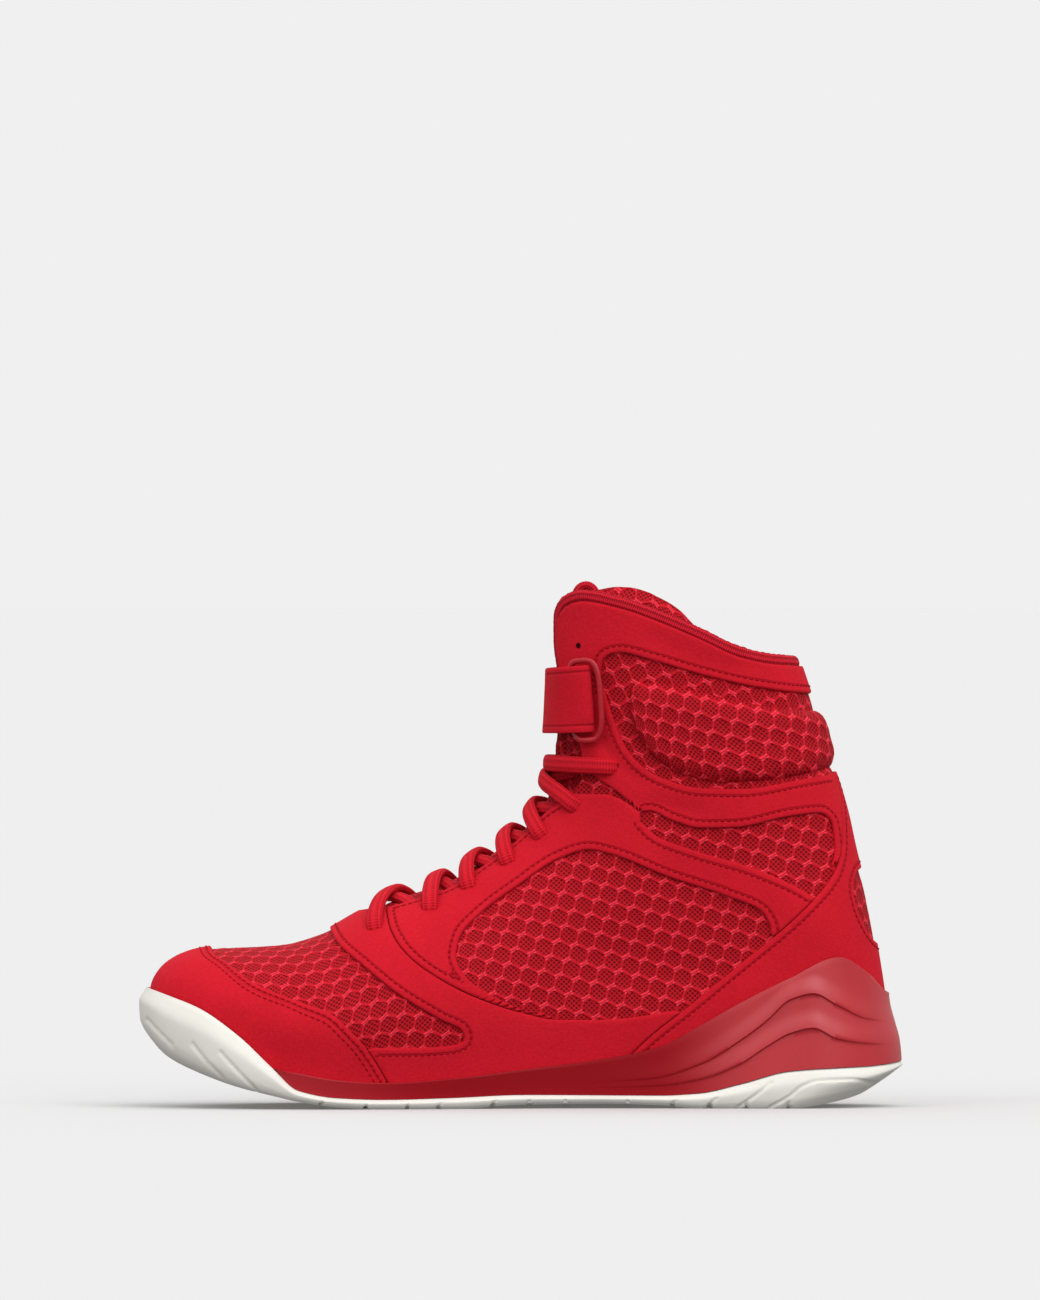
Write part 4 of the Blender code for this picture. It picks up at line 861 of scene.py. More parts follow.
@dataclass(frozen=True)
class Moulded:
    """Moulded foam, rubber, plastic or thread: a colour with faint clouds, fine grain and its own gloss."""

    name: str
    colour: Colour
    shade: Colour
    roughness: float
    grain: float = 0.5
    grain_depth: float = 0.04
    gloss: float = 0.5
    # Colour of painted shade, mixed in by a share kept at the corners, where the gloss is lowered too.
    painted_waist_shade: Colour | None = None

    def build(self) -> bpy.types.Material:
        """Makes the material."""
        nodes = Nodes(self.name)
        where = nodes.where()
        cloud = nodes.noise(where, 26.0, 4.0, 0.6)
        grain = nodes.noise(where, self.grain, 2.0)
        share = nodes.ramp(nodes.total(cloud, 0.75, grain, 0.25), 0.3, 0.62)
        colour = nodes.mix(share, self.shade, self.colour)
        gloss = self.gloss
        # Painted shade mixed in, with less gloss, where the kept share is high.
        if self.painted_waist_shade:
            colour = nodes.mix(nodes.kept("painted_waist_shade"), colour, self.painted_waist_shade)
            gloss = nodes.ramp(nodes.kept("painted_waist_shade"), 0.0, 1.0, self.gloss, self.gloss * 0.15)
        nodes.set(Base_Color=colour, Roughness=self.roughness, Normal=nodes.bump(grain, self.grain_depth),
                  Specular_IOR_Level=gloss)
        return nodes.material


class Finish(Enum):
    """The shoe's finishes."""

    SUEDE = Suede()
    MESH = SpacerMesh()
    LACE = Woven("lace_weave", (0.62, 0.0085, 0.022), (0.40, 0.004, 0.011), 1.9, 0.9, 0.22)
    KNIT = Woven("knit_edge", (0.62, 0.012, 0.029), (0.27, 0.003, 0.010), 1.7, 0.7, 0.4)
    LINING = Woven("lining_cloth", (0.30, 0.004, 0.012), (0.16, 0.002, 0.006), 0.9, 1.0, 0.15)
    # Foam with painted shade along the waist, where its wall turns under.
    FOAM = Moulded("foam", (0.47, 0.011, 0.020), (0.42, 0.009, 0.017), 0.42, grain_depth=0.03, gloss=0.6,
                   painted_waist_shade=(0.26, 0.004, 0.009))
    RUBBER = Moulded("rubber", (0.77, 0.745, 0.69), (0.72, 0.695, 0.64), 0.6, gloss=0.3)
    RING = Moulded("ring_moulding", (0.40, 0.006, 0.015), (0.34, 0.004, 0.012), 0.36, gloss=0.4,
                   grain_depth=0.01)
    THREAD = Moulded("thread", (0.35, 0.0045, 0.012), (0.30, 0.0035, 0.010), 0.8, 0.25, 0.1, gloss=0.05)
    # Near-black dishes over the punched holes: painted shade for their dark insides.
    HOLE_SHADE = Moulded("painted_hole_shade", (0.03, 0.0008, 0.0015), (0.02, 0.0006, 0.001), 0.9, gloss=0.05)

    def material(self) -> bpy.types.Material:
        """The finish's material, made once."""
        return bpy.data.materials.get(self.value.name) or self.value.build()


# Stitches by geometry nodes

@dataclass(frozen=True)
class Stitching:
    """Runs of thread along the seams, each stitch a short rounded bar that lies along its line."""

    pitch: float = 2.5
    length: float = 1.9
    thickness: float = 0.75

    def tree(self) -> bpy.types.NodeTree:
        """Builds the node tree: lines to points, a stitch on each, made real, with their finish."""
        tree = bpy.data.node_groups.new("stitch_run", "GeometryNodeTree")
        tree.interface.new_socket("Seams", in_out="INPUT", socket_type="NodeSocketGeometry")
        for name in ("Pitch", "Length", "Thickness"):
            tree.interface.new_socket(name, in_out="INPUT", socket_type="NodeSocketFloat")
        tree.interface.new_socket("Finish", in_out="INPUT", socket_type="NodeSocketMaterial")
        tree.interface.new_socket("Stitches", in_out="OUTPUT", socket_type="NodeSocketGeometry")
        add = tree.nodes.new
        given, made = add("NodeGroupInput"), add("NodeGroupOutput")
        lines, points = add("GeometryNodeMeshToCurve"), add("GeometryNodeCurveToPoints")
        points.mode = "LENGTH"
        ball = add("GeometryNodeMeshUVSphere")
        for name, value in (("Segments", 6), ("Rings", 5), ("Radius", 0.5)):
            ball.inputs[name].default_value = value
        size, shape = add("ShaderNodeCombineXYZ"), add("GeometryNodeTransform")
        turn = add("FunctionNodeAlignRotationToVector")
        turn.axis = "Z"
        place, real = add("GeometryNodeInstanceOnPoints"), add("GeometryNodeRealizeInstances")
        finish = add("GeometryNodeSetMaterial")
        for start, leaving, end, entering in (
                (given, "Seams", lines, "Mesh"), (lines, "Curve", points, "Curve"),
                (given, "Pitch", points, "Length"), (given, "Thickness", size, "X"),
                (given, "Thickness", size, "Y"), (given, "Length", size, "Z"),
                (ball, "Mesh", shape, "Geometry"), (size, "Vector", shape, "Scale"),
                (points, "Tangent", turn, "Vector"), (points, "Points", place, "Points"),
                (shape, "Geometry", place, "Instance"), (turn, "Rotation", place, "Rotation"),
                (place, "Instances", real, "Geometry"), (real, "Geometry", finish, "Geometry"),
                (given, "Finish", finish, "Material"), (finish, "Geometry", made, "Stitches")):
            tree.links.new(start.outputs[leaving], end.inputs[entering])
        return tree

    def sew(self, name: str, points: np.ndarray, edges: np.ndarray) -> bpy.types.Object:
        """Sews along lines.

        Args:
            name: the piece's name.
            points: corners of the lines in millimetres.
            edges: pairs of corners.

        Returns:
            The stitches as one plain mesh.
        """
        mesh = bpy.data.meshes.new(name + "_lines")
        mesh.from_pydata((points * MM).tolist(), edges.tolist(), [])
        guide = bpy.data.objects.new(name + "_lines", mesh)
        bpy.context.scene.collection.objects.link(guide)
        change = guide.modifiers.new("stitches", "NODES")
        change.node_group = self.tree()
        sizes = {"Pitch": self.pitch * MM, "Length": self.length * MM, "Thickness": self.thickness * MM,
                 "Finish": Finish.THREAD.material()}
        for socket in change.node_group.interface.items_tree:
            if socket.name in sizes:
                change[socket.identifier] = sizes[socket.name]
        guide.update_tag()
        graph = bpy.context.evaluated_depsgraph_get()
        graph.update()
        plain = bpy.data.meshes.new_from_object(guide.evaluated_get(graph))
        plain.name = name
        plain.shade_smooth()
        guide.modifiers.remove(change)
        bpy.data.objects.remove(guide)
        piece = bpy.data.objects.new(name, plain)
        bpy.context.scene.collection.objects.link(piece)
        return piece


# Overlays and mesh windows of the upper

CAP_EDGE: Line = (
    (121.4, 66.0), (119.1, 59.0), (113.7, 55.5), (103.2, 48.0), (85.7, 41.0), (74.1, 37.0), (65.6, 30.0),
    (59.4, 23.0), (50.4, 8.0))
SADDLE_FRONT: Line = (
    (75.5, 72.0), (71.0, 63.6), (61.7, 55.5), (46.9, 43.8), (31.4, 34.5), (22.5, 29.5), (22.1, 26.8),
    (25.6, 24.8), (41.1, 23.7), (56.0, 23.7))
STAY_SEAM: Line = (
    (53.0, 84.0), (50.8, 70.2), (47.7, 63.6), (42.3, 57.4), (31.4, 49.7), (15.9, 42.3), (0.4, 37.2),
    (-15.1, 34.3), (-30.7, 34.3), (-46.2, 35.7), (-62.0, 38.6))
QUARTER_WINDOW: Line = (
    (-13.0, 36.0), (-3.5, 37.8), (10.1, 43.1), (21.0, 50.4), (25.2, 58.5), (23.7, 65.6), (15.9, 74.5),
    (0.4, 86.1), (-15.1, 96.2), (-26.8, 99.7), (-34.5, 98.2), (-57.8, 89.2), (-81.1, 81.5),
    (-93.5, 75.7), (-96.6, 68.7), (-94.0, 65.5))
COUNTER_EDGE: Line = (
    (-36.0, 14.0), (-50.1, 27.9), (-65.6, 40.0), (-85.0, 55.9), (-104.4, 72.2), (-112.9, 80.7),
    (-118.3, 86.9), (-121.8, 93.5), (-123.4, 103.2), (-123.0, 118.7), (-120.2, 129.0))
HEEL_WINDOW: Line = (
    (-133.0, 93.5), (-129.0, 90.5), (-127.6, 84.5), (-128.8, 78.0), (-131.5, 71.0), (-135.0, 65.0),
    (-140.0, 61.0))
ANKLE_FLOOR: Line = (
    (-112.5, 81.4), (-106.3, 85.4), (-88.9, 93.1), (-65.6, 100.1), (-52.0, 105.5), (-46.4, 111.0))
COLLAR_SEAM: Line = ((-46.6, 114.0), (-42.3, 117.2), (-37.6, 119.9), (-32.6, 121.3), (-15.0, 121.3))
ANKLE_ROOF: Line = (
    (-47.0, 114.5), (-50.1, 114.8), (-57.8, 111.4), (-69.5, 108.3), (-83.0, 108.6), (-104.4, 112.9),
    (-115.0, 113.9), (-120.0, 109.5), (-121.0, 99.0), (-119.4, 93.0))
COLLAR_NOTCH: Line = (
    (-10.0, 135.0), (-24.1, 135.0), (-26.8, 131.1), (-31.0, 126.9), (-36.1, 123.4), (-42.0, 118.6))
PAD_FLOOR: Line = (
    (-118.0, 128.4), (-108.3, 126.9), (-85.0, 123.4), (-69.5, 123.8), (-53.9, 128.0), (-43.1, 136.2),
    (-36.9, 148.2), (-33.4, 158.7), (-31.2, 168.0), (-32.3, 174.0), (-38.4, 176.2), (-50.1, 173.4),
    (-69.5, 167.6), (-88.9, 163.0), (-104.4, 160.6), (-120.0, 159.2))


def grown(outline: np.ndarray, distance: float) -> np.ndarray:
    """A closed outline moved outwards."""
    ahead = unit(np.roll(outline, -1, axis=0) - np.roll(outline, 1, axis=0))
    turn = (outline[:, 0] * np.roll(outline[:, 1], -1) - outline[:, 1] * np.roll(outline[:, 0], -1)).sum()
    return outline + np.sign(turn) * distance * np.stack([ahead[:, 1], -ahead[:, 0]], axis=1)


@dataclass
class Panel:
    """One suede overlay: its outline in the side view, the lines that bound it and those that are sewn."""

    name: str
    around: Around
    outline: list[np.ndarray]
    sewn: list[np.ndarray]
    insets: tuple[float, ...] = (2.7,)
    hole: np.ndarray | None = None
    spacing: float = 2.0
    edge_rise: float = 0.3
    edge_round: float = 0.8

    def sides(self) -> tuple[Side, ...]:
        """The sides of the shoe that the panel lies on."""
        single = {Around.INNER: (Side.INNER,), Around.OUTER: (Side.OUTER,)}
        return single.get(self.around, (Side.INNER, Side.OUTER))

    def measure(self, skin: Skin, last: Last, lines: list[np.ndarray]) -> tuple[np.ndarray, np.ndarray]:
        """Distance from the patch's corners to lines on the last, and whether a line's end is nearest."""
        least, loose = np.full(len(skin.points), np.inf), np.zeros(len(skin.points))
        for line in lines:
            for side in self.sides():
                laid = last.lay(line, side)
                if len(laid) < 2:
                    continue
                distance, best, share = nearest(skin.points, laid)
                at_end = ((best == 0) & (share == 0)) | ((best == len(laid) - 2) & (share == 1))
                middle = np.abs(laid[[0, -1], 1] - PLAN.read("swing", laid[[0, -1], 0])) < 1e-6
                at_end &= ~np.where(best == 0, middle[0], middle[1])
                closer = distance < least
                least, loose = np.where(closer, distance, least), np.where(closer, at_end, loose)
        return least, loose

    def build(self, last: Last) -> tuple[bpy.types.Object, np.ndarray, np.ndarray]:
        """Makes the panel.

        Args:
            last: the last that it lies on.

        Returns:
            The piece, and the points and edges of its lines of stitches.
        """
        closed = np.concatenate(self.outline)
        skin = skin_over(last, closed, self.around, self.spacing)
        x, z = skin.points[:, 0], skin.points[:, 2]
        hit = inside(closed, x, z)
        lines = list(self.outline) + [last.rim]
        if self.hole is not None:
            hit &= ~inside(self.hole, x, z)
            lines.append(self.hole)
        distance, _ = self.measure(skin, last, lines)
        skin.values["edge"] = np.where(hit, distance, -distance)
        skin.values["sewn"], skin.values["loose"] = self.measure(skin, last, self.sewn)
        skin.split("edge", 0.0)
        skin.keep("edge", 0.0)
        for level in (0.1, 0.35, 1.0):
            skin.split("edge", level * self.edge_round)
        pairs = [skin.split("sewn", inset) for inset in self.insets]
        edge = skin.values["edge"]
        top = GAP + self.edge_rise + (OVERLAY - self.edge_rise) * rounded(edge / self.edge_round)
        seam = skin.points + skin.out * top[:, None]
        pairs = np.concatenate(pairs)
        pairs = pairs[(skin.values["loose"][pairs].max(axis=1) < 0.5) & (edge[pairs].min(axis=1) > 1.2)]
        values = skin.values
        skin.values = {"edge": values["edge"], "sewn": np.where(values["loose"] > 0.5, 99.0, values["sewn"])}
        points, faces, kept = skin.closed(top, GAP)
        piece = make_piece(self.name, points, faces, Finish.SUEDE.material(), kept)
        return piece, seam, pairs


@dataclass
class Window:
    """A patch of spacer mesh that shows between the overlays and runs on under them."""

    name: str
    around: Around
    outline: np.ndarray
    spacing: float = 0.97
    relief: float = 0.25
    bottom: float = -0.4

    def build(self, last: Last) -> bpy.types.Object:
        """Makes the patch with its hexagon relief."""
        skin = skin_over(last, self.outline, self.around, self.spacing)
        skin.values["in"] = inside(self.outline, skin.points[:, 0], skin.points[:, 2]).astype(float)
        skin.keep("in", 0.5)
        if self.around is Around.HEEL:
            u, v = skin.values["girth"], skin.points[:, 2]
        elif self.around is Around.TOE:
            u, v = skin.points[:, 0], last.drape(skin.points)
        else:
            u, v = skin.points[:, 0], skin.values["rise"]
        lattice = Finish.MESH.value.lattice
        skin.values = {"cloth": np.stack([u, v, np.zeros_like(u)], axis=1)}
        points, faces, kept = skin.closed(self.relief * lattice.ribs(u, v), self.bottom)
        return make_piece(self.name, points, faces, Finish.MESH.material(), kept, sharp=80)


@dataclass
class Upper:
    """The sewn upper: lined wall, windows of spacer mesh, suede overlays and their stitching."""

    last: Last
    tuck: float = 2.8
    heel_tuck: float = 4.5
    heel_range: tuple[float, float] = (-95.0, -125.0)
    cap_foot: float = 10.8
    counter_foot: float = -41.0
    wall_top: float = -0.45
    wall_columns: int = 220
    wall_rows: int = 54
    margin: float = 2.6

    def sole_line(self, start: float, end: float) -> np.ndarray:
        """Lower edge of the overlays, tucked in behind the rim of the sole."""
        x = np.linspace(start, end, max(3, round(abs(end - start))))
        tuck = self.tuck + self.heel_tuck * ease(x, *self.heel_range)
        return np.stack([x, np.maximum(SOLE.read("foam_top", x), SOLE.read("rubber_top", x)) - tuck], axis=1)

    def panels(self) -> list[Panel]:
        """The overlays, each from the lines that it shares with its neighbours."""
        cap, seam, counter = trace(CAP_EDGE), trace(STAY_SEAM), trace(COUNTER_EDGE)
        front = shifted(counter, -SEAM)
        cap_sole = float(np.interp(self.cap_foot - self.tuck, cap[::-1, 1], cap[::-1, 0]))
        saddle_front = trace(SADDLE_FRONT)

        def between(line: np.ndarray, low: float, high: float = 999.0) -> np.ndarray:
            """The stretch of a line between two heights."""
            return line[(line[:, 1] > low) & (line[:, 1] < high)]

        def corner(*points: tuple[float, float]) -> np.ndarray:
            """Corners beyond the last that close an outline."""
            return np.array(points, float)

        cap_line = between(cap, self.cap_foot - self.tuck)
        saddle_low = between(shifted(cap, -SEAM), self.cap_foot - self.tuck, SADDLE_FRONT[-1][1])
        stay_front = shifted(seam, -SEAM)[seam[:, 0] > -12.0]
        window, floor, collar = trace(QUARTER_WINDOW), trace(ANKLE_FLOOR), trace(COLLAR_SEAM)
        notch, roof, pad = trace(COLLAR_NOTCH), trace(ANKLE_ROOF), trace(PAD_FLOOR)
        heel_hole = np.concatenate([trace(HEEL_WINDOW), corner((-150, 61), (-150, 93.5))])
        throat = trace(THROAT)
        lacing = throat[throat[:, 1] < 121]
        stays = [stay_front, window, between(front, 66, 80), floor, collar, corner((-5, 135), (58, 100))]
        stay_sewn = [stay_front, window, floor, lacing]
        return [
            Panel("toe_cap_suede", Around.TOE, [cap_line, self.sole_line(cap_sole, 150), corner((150, 66))],
                  [cap_line], (1.9, 4.3)),
            Panel("saddle_suede", Around.TOE, [
                saddle_front, saddle_low, self.sole_line(cap_sole - GAP, self.counter_foot),
                between(front, 18, 38), shifted(seam, SEAM)[::-1], corner((62, 90))], [saddle_front]),
            Panel("eyestay_inner_suede", Around.INNER, stays, stay_sewn),
            Panel("eyestay_outer_suede", Around.OUTER, stays, stay_sewn),
            Panel("collar_frame_suede", Around.HEEL, [
                notch, roof, between(front, 95), pad, corner((-125, 159), (-125, 205), (5, 205), (5, 135))],
                [roof, pad]),
            Panel("heel_counter_suede", Around.HEEL, [
                self.sole_line(self.counter_foot, -150), corner((-150, 129)), between(counter, 18)[::-1]],
                [between(counter, 18), trace(HEEL_WINDOW)], hole=heel_hole),
        ]

    def windows(self) -> list[Window]:
        """The patches of spacer mesh."""
        cap, saddle = trace(CAP_EDGE), trace(SADDLE_FRONT)
        vamp = np.concatenate([shifted(cap, self.margin), [[40, 20]], shifted(saddle, -self.margin)[::-1],
                               [[80, 90]]])
        quarter = np.concatenate([shifted(trace(QUARTER_WINDOW), -self.margin), [
            [-99, 61], [-70, 35], [-50, 31], [-15, 31]]])
        ankle = grown(np.concatenate([trace(ANKLE_FLOOR), trace(ANKLE_ROOF)]), self.margin)
        pad = np.concatenate([shifted(trace(PAD_FLOOR), -self.margin), [[-135, 162], [-135, 126]]])
        heel = np.concatenate([shifted(trace(HEEL_WINDOW), self.margin), [[-152, 58], [-152, 96]]])
        notch = np.array([[-5, 118], [-50, 110], [-50, 120], [-40, 126], [-28, 138], [-5, 138]], float)
        made = [Window("vamp_mesh", Around.TOE, vamp), Window("collar_mesh", Around.HEEL, pad),
                Window("heel_mesh", Around.HEEL, heel)]
        for side, around in (("inner", Around.INNER), ("outer", Around.OUTER)):
            made.append(Window(f"quarter_mesh_{side}", around, quarter))
            made.append(Window(f"ankle_mesh_{side}", around, ankle))
            made.append(Window(f"notch_mesh_{side}", around, notch))
        return made

    def wall(self) -> bpy.types.Object:
        """The lined wall under the mesh and the overlays, open at the collar, the throat and the sole."""
        turn = np.linspace(0, 2, self.wall_columns, endpoint=False)
        climb = np.linspace(0, 1, self.wall_rows)
        grid = self.last.place(turn[None, :], climb[:, None])
        ring = np.roll(grid, -1, axis=1) - np.roll(grid, 1, axis=1)
        out = unit(np.cross(ring, np.gradient(grid, axis=0)))
        points = np.concatenate([grid + out * self.wall_top, grid - out * WALL])
        faces = shell_faces(self.wall_rows, self.wall_columns, True)
        girth = np.tile(turn * 300, self.wall_rows)
        cloth = np.stack([girth, grid[..., 2].ravel(), np.zeros(grid[..., 0].size)], axis=1)
        values = {"cloth": np.concatenate([cloth] * 2)}
        return make_piece("upper_lining", points, faces, Finish.LINING.material(), values)

    def build(self) -> None:
        """Makes and declares every piece of the upper."""
        wall = self.wall()
        declare(wall, "dark_lining", "upper")
        for window in self.windows():
            declare(window.build(self.last), "red_mesh")
        nodes = {"toe_cap_suede": "toe_cap", "saddle_suede": "saddle",
                 "eyestay_inner_suede": "eyestay_medial", "eyestay_outer_suede": "eyestay_lateral",
                 "collar_frame_suede": "collar_frame", "heel_counter_suede": "heel_counter"}
        seams, edges, count = [], [], 0
        for panel in self.panels():
            piece, points, pairs = panel.build(self.last)
            declare(piece, "red_suede", nodes[panel.name])
            seams.append(points)
            edges.append(pairs + count)
            count += len(points)
        declare(Stitching().sew("upper_stitches", np.concatenate(seams), np.concatenate(edges)), "red_suede")


def declare(piece: bpy.types.Object, slot: str, *nodes: str) -> None:
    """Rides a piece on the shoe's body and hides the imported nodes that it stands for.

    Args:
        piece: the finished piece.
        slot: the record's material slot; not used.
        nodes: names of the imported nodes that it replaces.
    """
    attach(piece, "root")
    if nodes:
        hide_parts(*nodes)
    LOG.info("%s: %d faces", piece.name, len(piece.data.polygons))


# Studio

@dataclass
class Studio:
    """Pale seamless floor, soft light from above and the camera at the picture's angle."""

    distance: float = 8.0
    frame_height: float = 0.5044
    aim: tuple[float, float, float] = (0.0004, 0.0, 0.177)
    elevation: float = 0.3
    backdrop: float = 0.871
    floor_albedo: float = 0.63
    sky: float = 1.15
    ground: float = 0.30
    key: float = 2.0
    suns: tuple[tuple[str, float, float, float], ...] = (
        ("key_sun", 0.78, 50, 26), ("fill_sun", 0.22, 60, -38))
    sun_width: float = 50.0
    reach: float = 60.0

    def camera(self) -> None:
        """Places the camera level with the inner side, the toe to the left."""
        lens = bpy.data.cameras.new("camera")
        lens.sensor_width = 36.0
        lens.lens = lens.sensor_width * self.distance / self.frame_height
        lens.clip_end = 100.0
        camera = bpy.data.objects.new("camera", lens)
        rise = math.radians(self.elevation)
        camera.location = (self.aim[0], self.aim[1] + self.distance * math.cos(rise),
                           self.aim[2] + self.distance * math.sin(rise))
        camera.rotation_euler = (math.pi / 2 - rise, 0.0, math.pi)
        bpy.context.scene.collection.objects.link(camera)
        bpy.context.scene.camera = camera

    def floor(self) -> None:
        """Lays the floor as far as the eye reaches."""
        mesh = bpy.data.meshes.new("floor")
        corners = [(x * self.reach, y * self.reach, 0) for x, y in ((-1, -1), (1, -1), (1, 1), (-1, 1))]
        mesh.from_pydata(corners, [], [(0, 1, 2, 3)])
        nodes = Nodes("studio_floor")
        grain = nodes.noise(nodes.where(), 900.0)
        shade = self.floor_albedo
        nodes.set(Base_Color=nodes.mix(grain, (shade,) * 3, (shade * 1.002,) * 3), Roughness=1.0,
                  Specular_IOR_Level=0.0)
        mesh.materials.append(nodes.material)
        floor = bpy.data.objects.new("floor", mesh)
        bpy.context.scene.collection.objects.link(floor)
        floor.visible_diffuse = False
        floor.visible_glossy = False

    def lights(self) -> None:
        """Soft sky, brighter above, and two broad suns from over the camera."""
        world = bpy.data.worlds.new("studio")
        bpy.context.scene.world = world
        world.use_nodes = True
        tree = world.node_tree
        tree.nodes.clear()
        add = tree.nodes.new
        where, split = add("ShaderNodeTexCoord"), add("ShaderNodeSeparateXYZ")
        fade = add("ShaderNodeMapRange")
        for name, value in (("From Min", -0.3), ("From Max", 0.9),
                            ("To Min", self.ground), ("To Max", self.sky)):
            fade.inputs[name].default_value = value
        light, seen = add("ShaderNodeBackground"), add("ShaderNodeBackground")
        for background, shade in ((light, 1.0), (seen, self.backdrop)):
            background.inputs["Color"].default_value = (shade, shade, shade, 1.0)
        path, both, end = add("ShaderNodeLightPath"), add("ShaderNodeMixShader"), add("ShaderNodeOutputWorld")
        for output, entry in (
                (where.outputs["Generated"], split.inputs[0]), (split.outputs["Z"], fade.inputs["Value"]),
                (fade.outputs["Result"], light.inputs["Strength"]),
                (path.outputs["Is Camera Ray"], both.inputs[0]), (light.outputs[0], both.inputs[1]),
                (seen.outputs[0], both.inputs[2]), (both.outputs[0], end.inputs["Surface"])):
            tree.links.new(output, entry)
        for name, share, tilt, swing in self.suns:
            lamp = bpy.data.lights.new(name, "SUN")
            lamp.energy = self.key * share
            lamp.angle = math.radians(self.sun_width)
            sun = bpy.data.objects.new(name, lamp)
            sun.rotation_euler = (math.radians(-tilt), 0.0, math.radians(swing))
            bpy.context.scene.collection.objects.link(sun)

    def build(self) -> None:
        """Sets up the whole studio."""
        bpy.context.scene.view_settings.view_transform = "Standard"
        self.camera()
        self.floor()
        self.lights()


# Soles

RUBBER_EDGE = Table("share toe heel spread", (
    (0.0, 141.0, -133.0, 2.2), (0.06, 144.6, -135.5, 3.0), (0.14, 146.6, -138.5, 3.7),
    (0.28, 147.7, -143.0, 4.5), (0.62, 148.0, -148.0, 5.2), (1.0, 145.2, -147.2, 3.6)))
FLEX_GROOVES = (77, 60, 44, 32, 11, -3, -17, -41, -58.5, -73, -87, -103)
WAVES = Table("x low high depth", (
    (-148, 24.5, 33.5, 0.0), (-142, 24.5, 33.5, 0.15), (-134, 25.0, 34.5, 0.9), (-122, 27.0, 40.0, 1.1),
    (-113, 31.0, 44.3, 1.2), (-104, 29.0, 42.0, 1.2), (-95, 24.0, 34.0, 1.1), (-85, 17.5, 26.5, 1.0),
    (-70, 11.5, 17.5, 0.7), (-50, 8.5, 11.5, 0.3), (-20, 8.0, 10.0, 0.0), (96, 12.0, 13.0, 0.0)))
HEEL_LEAN = Table("z inset", (
    (14.0, 0.2), (18.0, 0.3), (25.6, 1.0), (32.6, 2.8), (39.2, 4.6), (45.0, 5.4), (60.0, 6.4)))
LAST_TOE, LAST_HEEL = 142.8, -142.2
SOLE_TOE, SOLE_HEEL = 148.0, -148.0


def sole_half(x: np.ndarray, toe: np.ndarray, heel: np.ndarray, spread: np.ndarray) -> np.ndarray:
    """Half width of a ring of the sole."""
    width = PLAN.read("half_width", x) + spread
    return width * rounded((toe - x) / TOE.rows[0][2]) * rounded((x - heel) / HEEL.rows[0][2])


def both_sides(x: np.ndarray, half: np.ndarray, z: np.ndarray) -> np.ndarray:
    """Rows of points: the inner side from its front to the heel, then the outer side back to the front."""
    swing = PLAN.read("swing", x)
    inner = np.stack([x, swing + half, z], axis=-1)
    outer = np.stack([x, swing - half, z], axis=-1)
    return np.concatenate([inner, outer[:, -2::-1]], axis=1)


def lip_spread(x: np.ndarray, z: np.ndarray, clear: float) -> np.ndarray:
    """Spread of a sole's inner lip that follows the upper's hem at a distance."""
    return clear - PLAN.read("half_width", x) * (1 - hem(x, z))


def crossed(ring: int, columns: int, flip: bool) -> np.ndarray:
    """Faces from side to side across one ring of a loft whose rows hold that many columns."""
    half = columns // 2
    j = np.arange(half)
    mirror = (columns - j) % columns
    after = columns - j - 1
    quads = np.stack([j, j + 1, after, mirror], axis=1) + ring * columns
    return quads if flip else quads[:, ::-1]


def loft_faces(rows: int, columns: int) -> np.ndarray:
    """Faces of a closed loft of rings, from its lowest ring to its highest."""
    return np.concatenate([grid_faces(rows, columns, True), crossed(0, columns, False),
                           crossed(rows - 1, columns, True)])


def ring_shares(columns: int) -> np.ndarray:
    """Shares of the way from the heel to the toe at a ring's points, closer together at both ends."""
    return (1 + np.cos(np.linspace(0, np.pi, columns // 2 + 1)))[None] / 2


def line_marks(points: np.ndarray, lines: tuple[Line, ...], width: float) -> np.ndarray:
    """How strongly side-view points are marked by lines of a width, from 0 to 1."""
    flat = points[..., [0, 2]].reshape(-1, 2)
    mark = np.zeros(len(flat))
    for line in lines:
        distance, _, _ = nearest(flat, trace(line, 1.5))
        mark = np.maximum(mark, ease(distance, width, width * 0.25))
    return mark.reshape(points.shape[:-1])


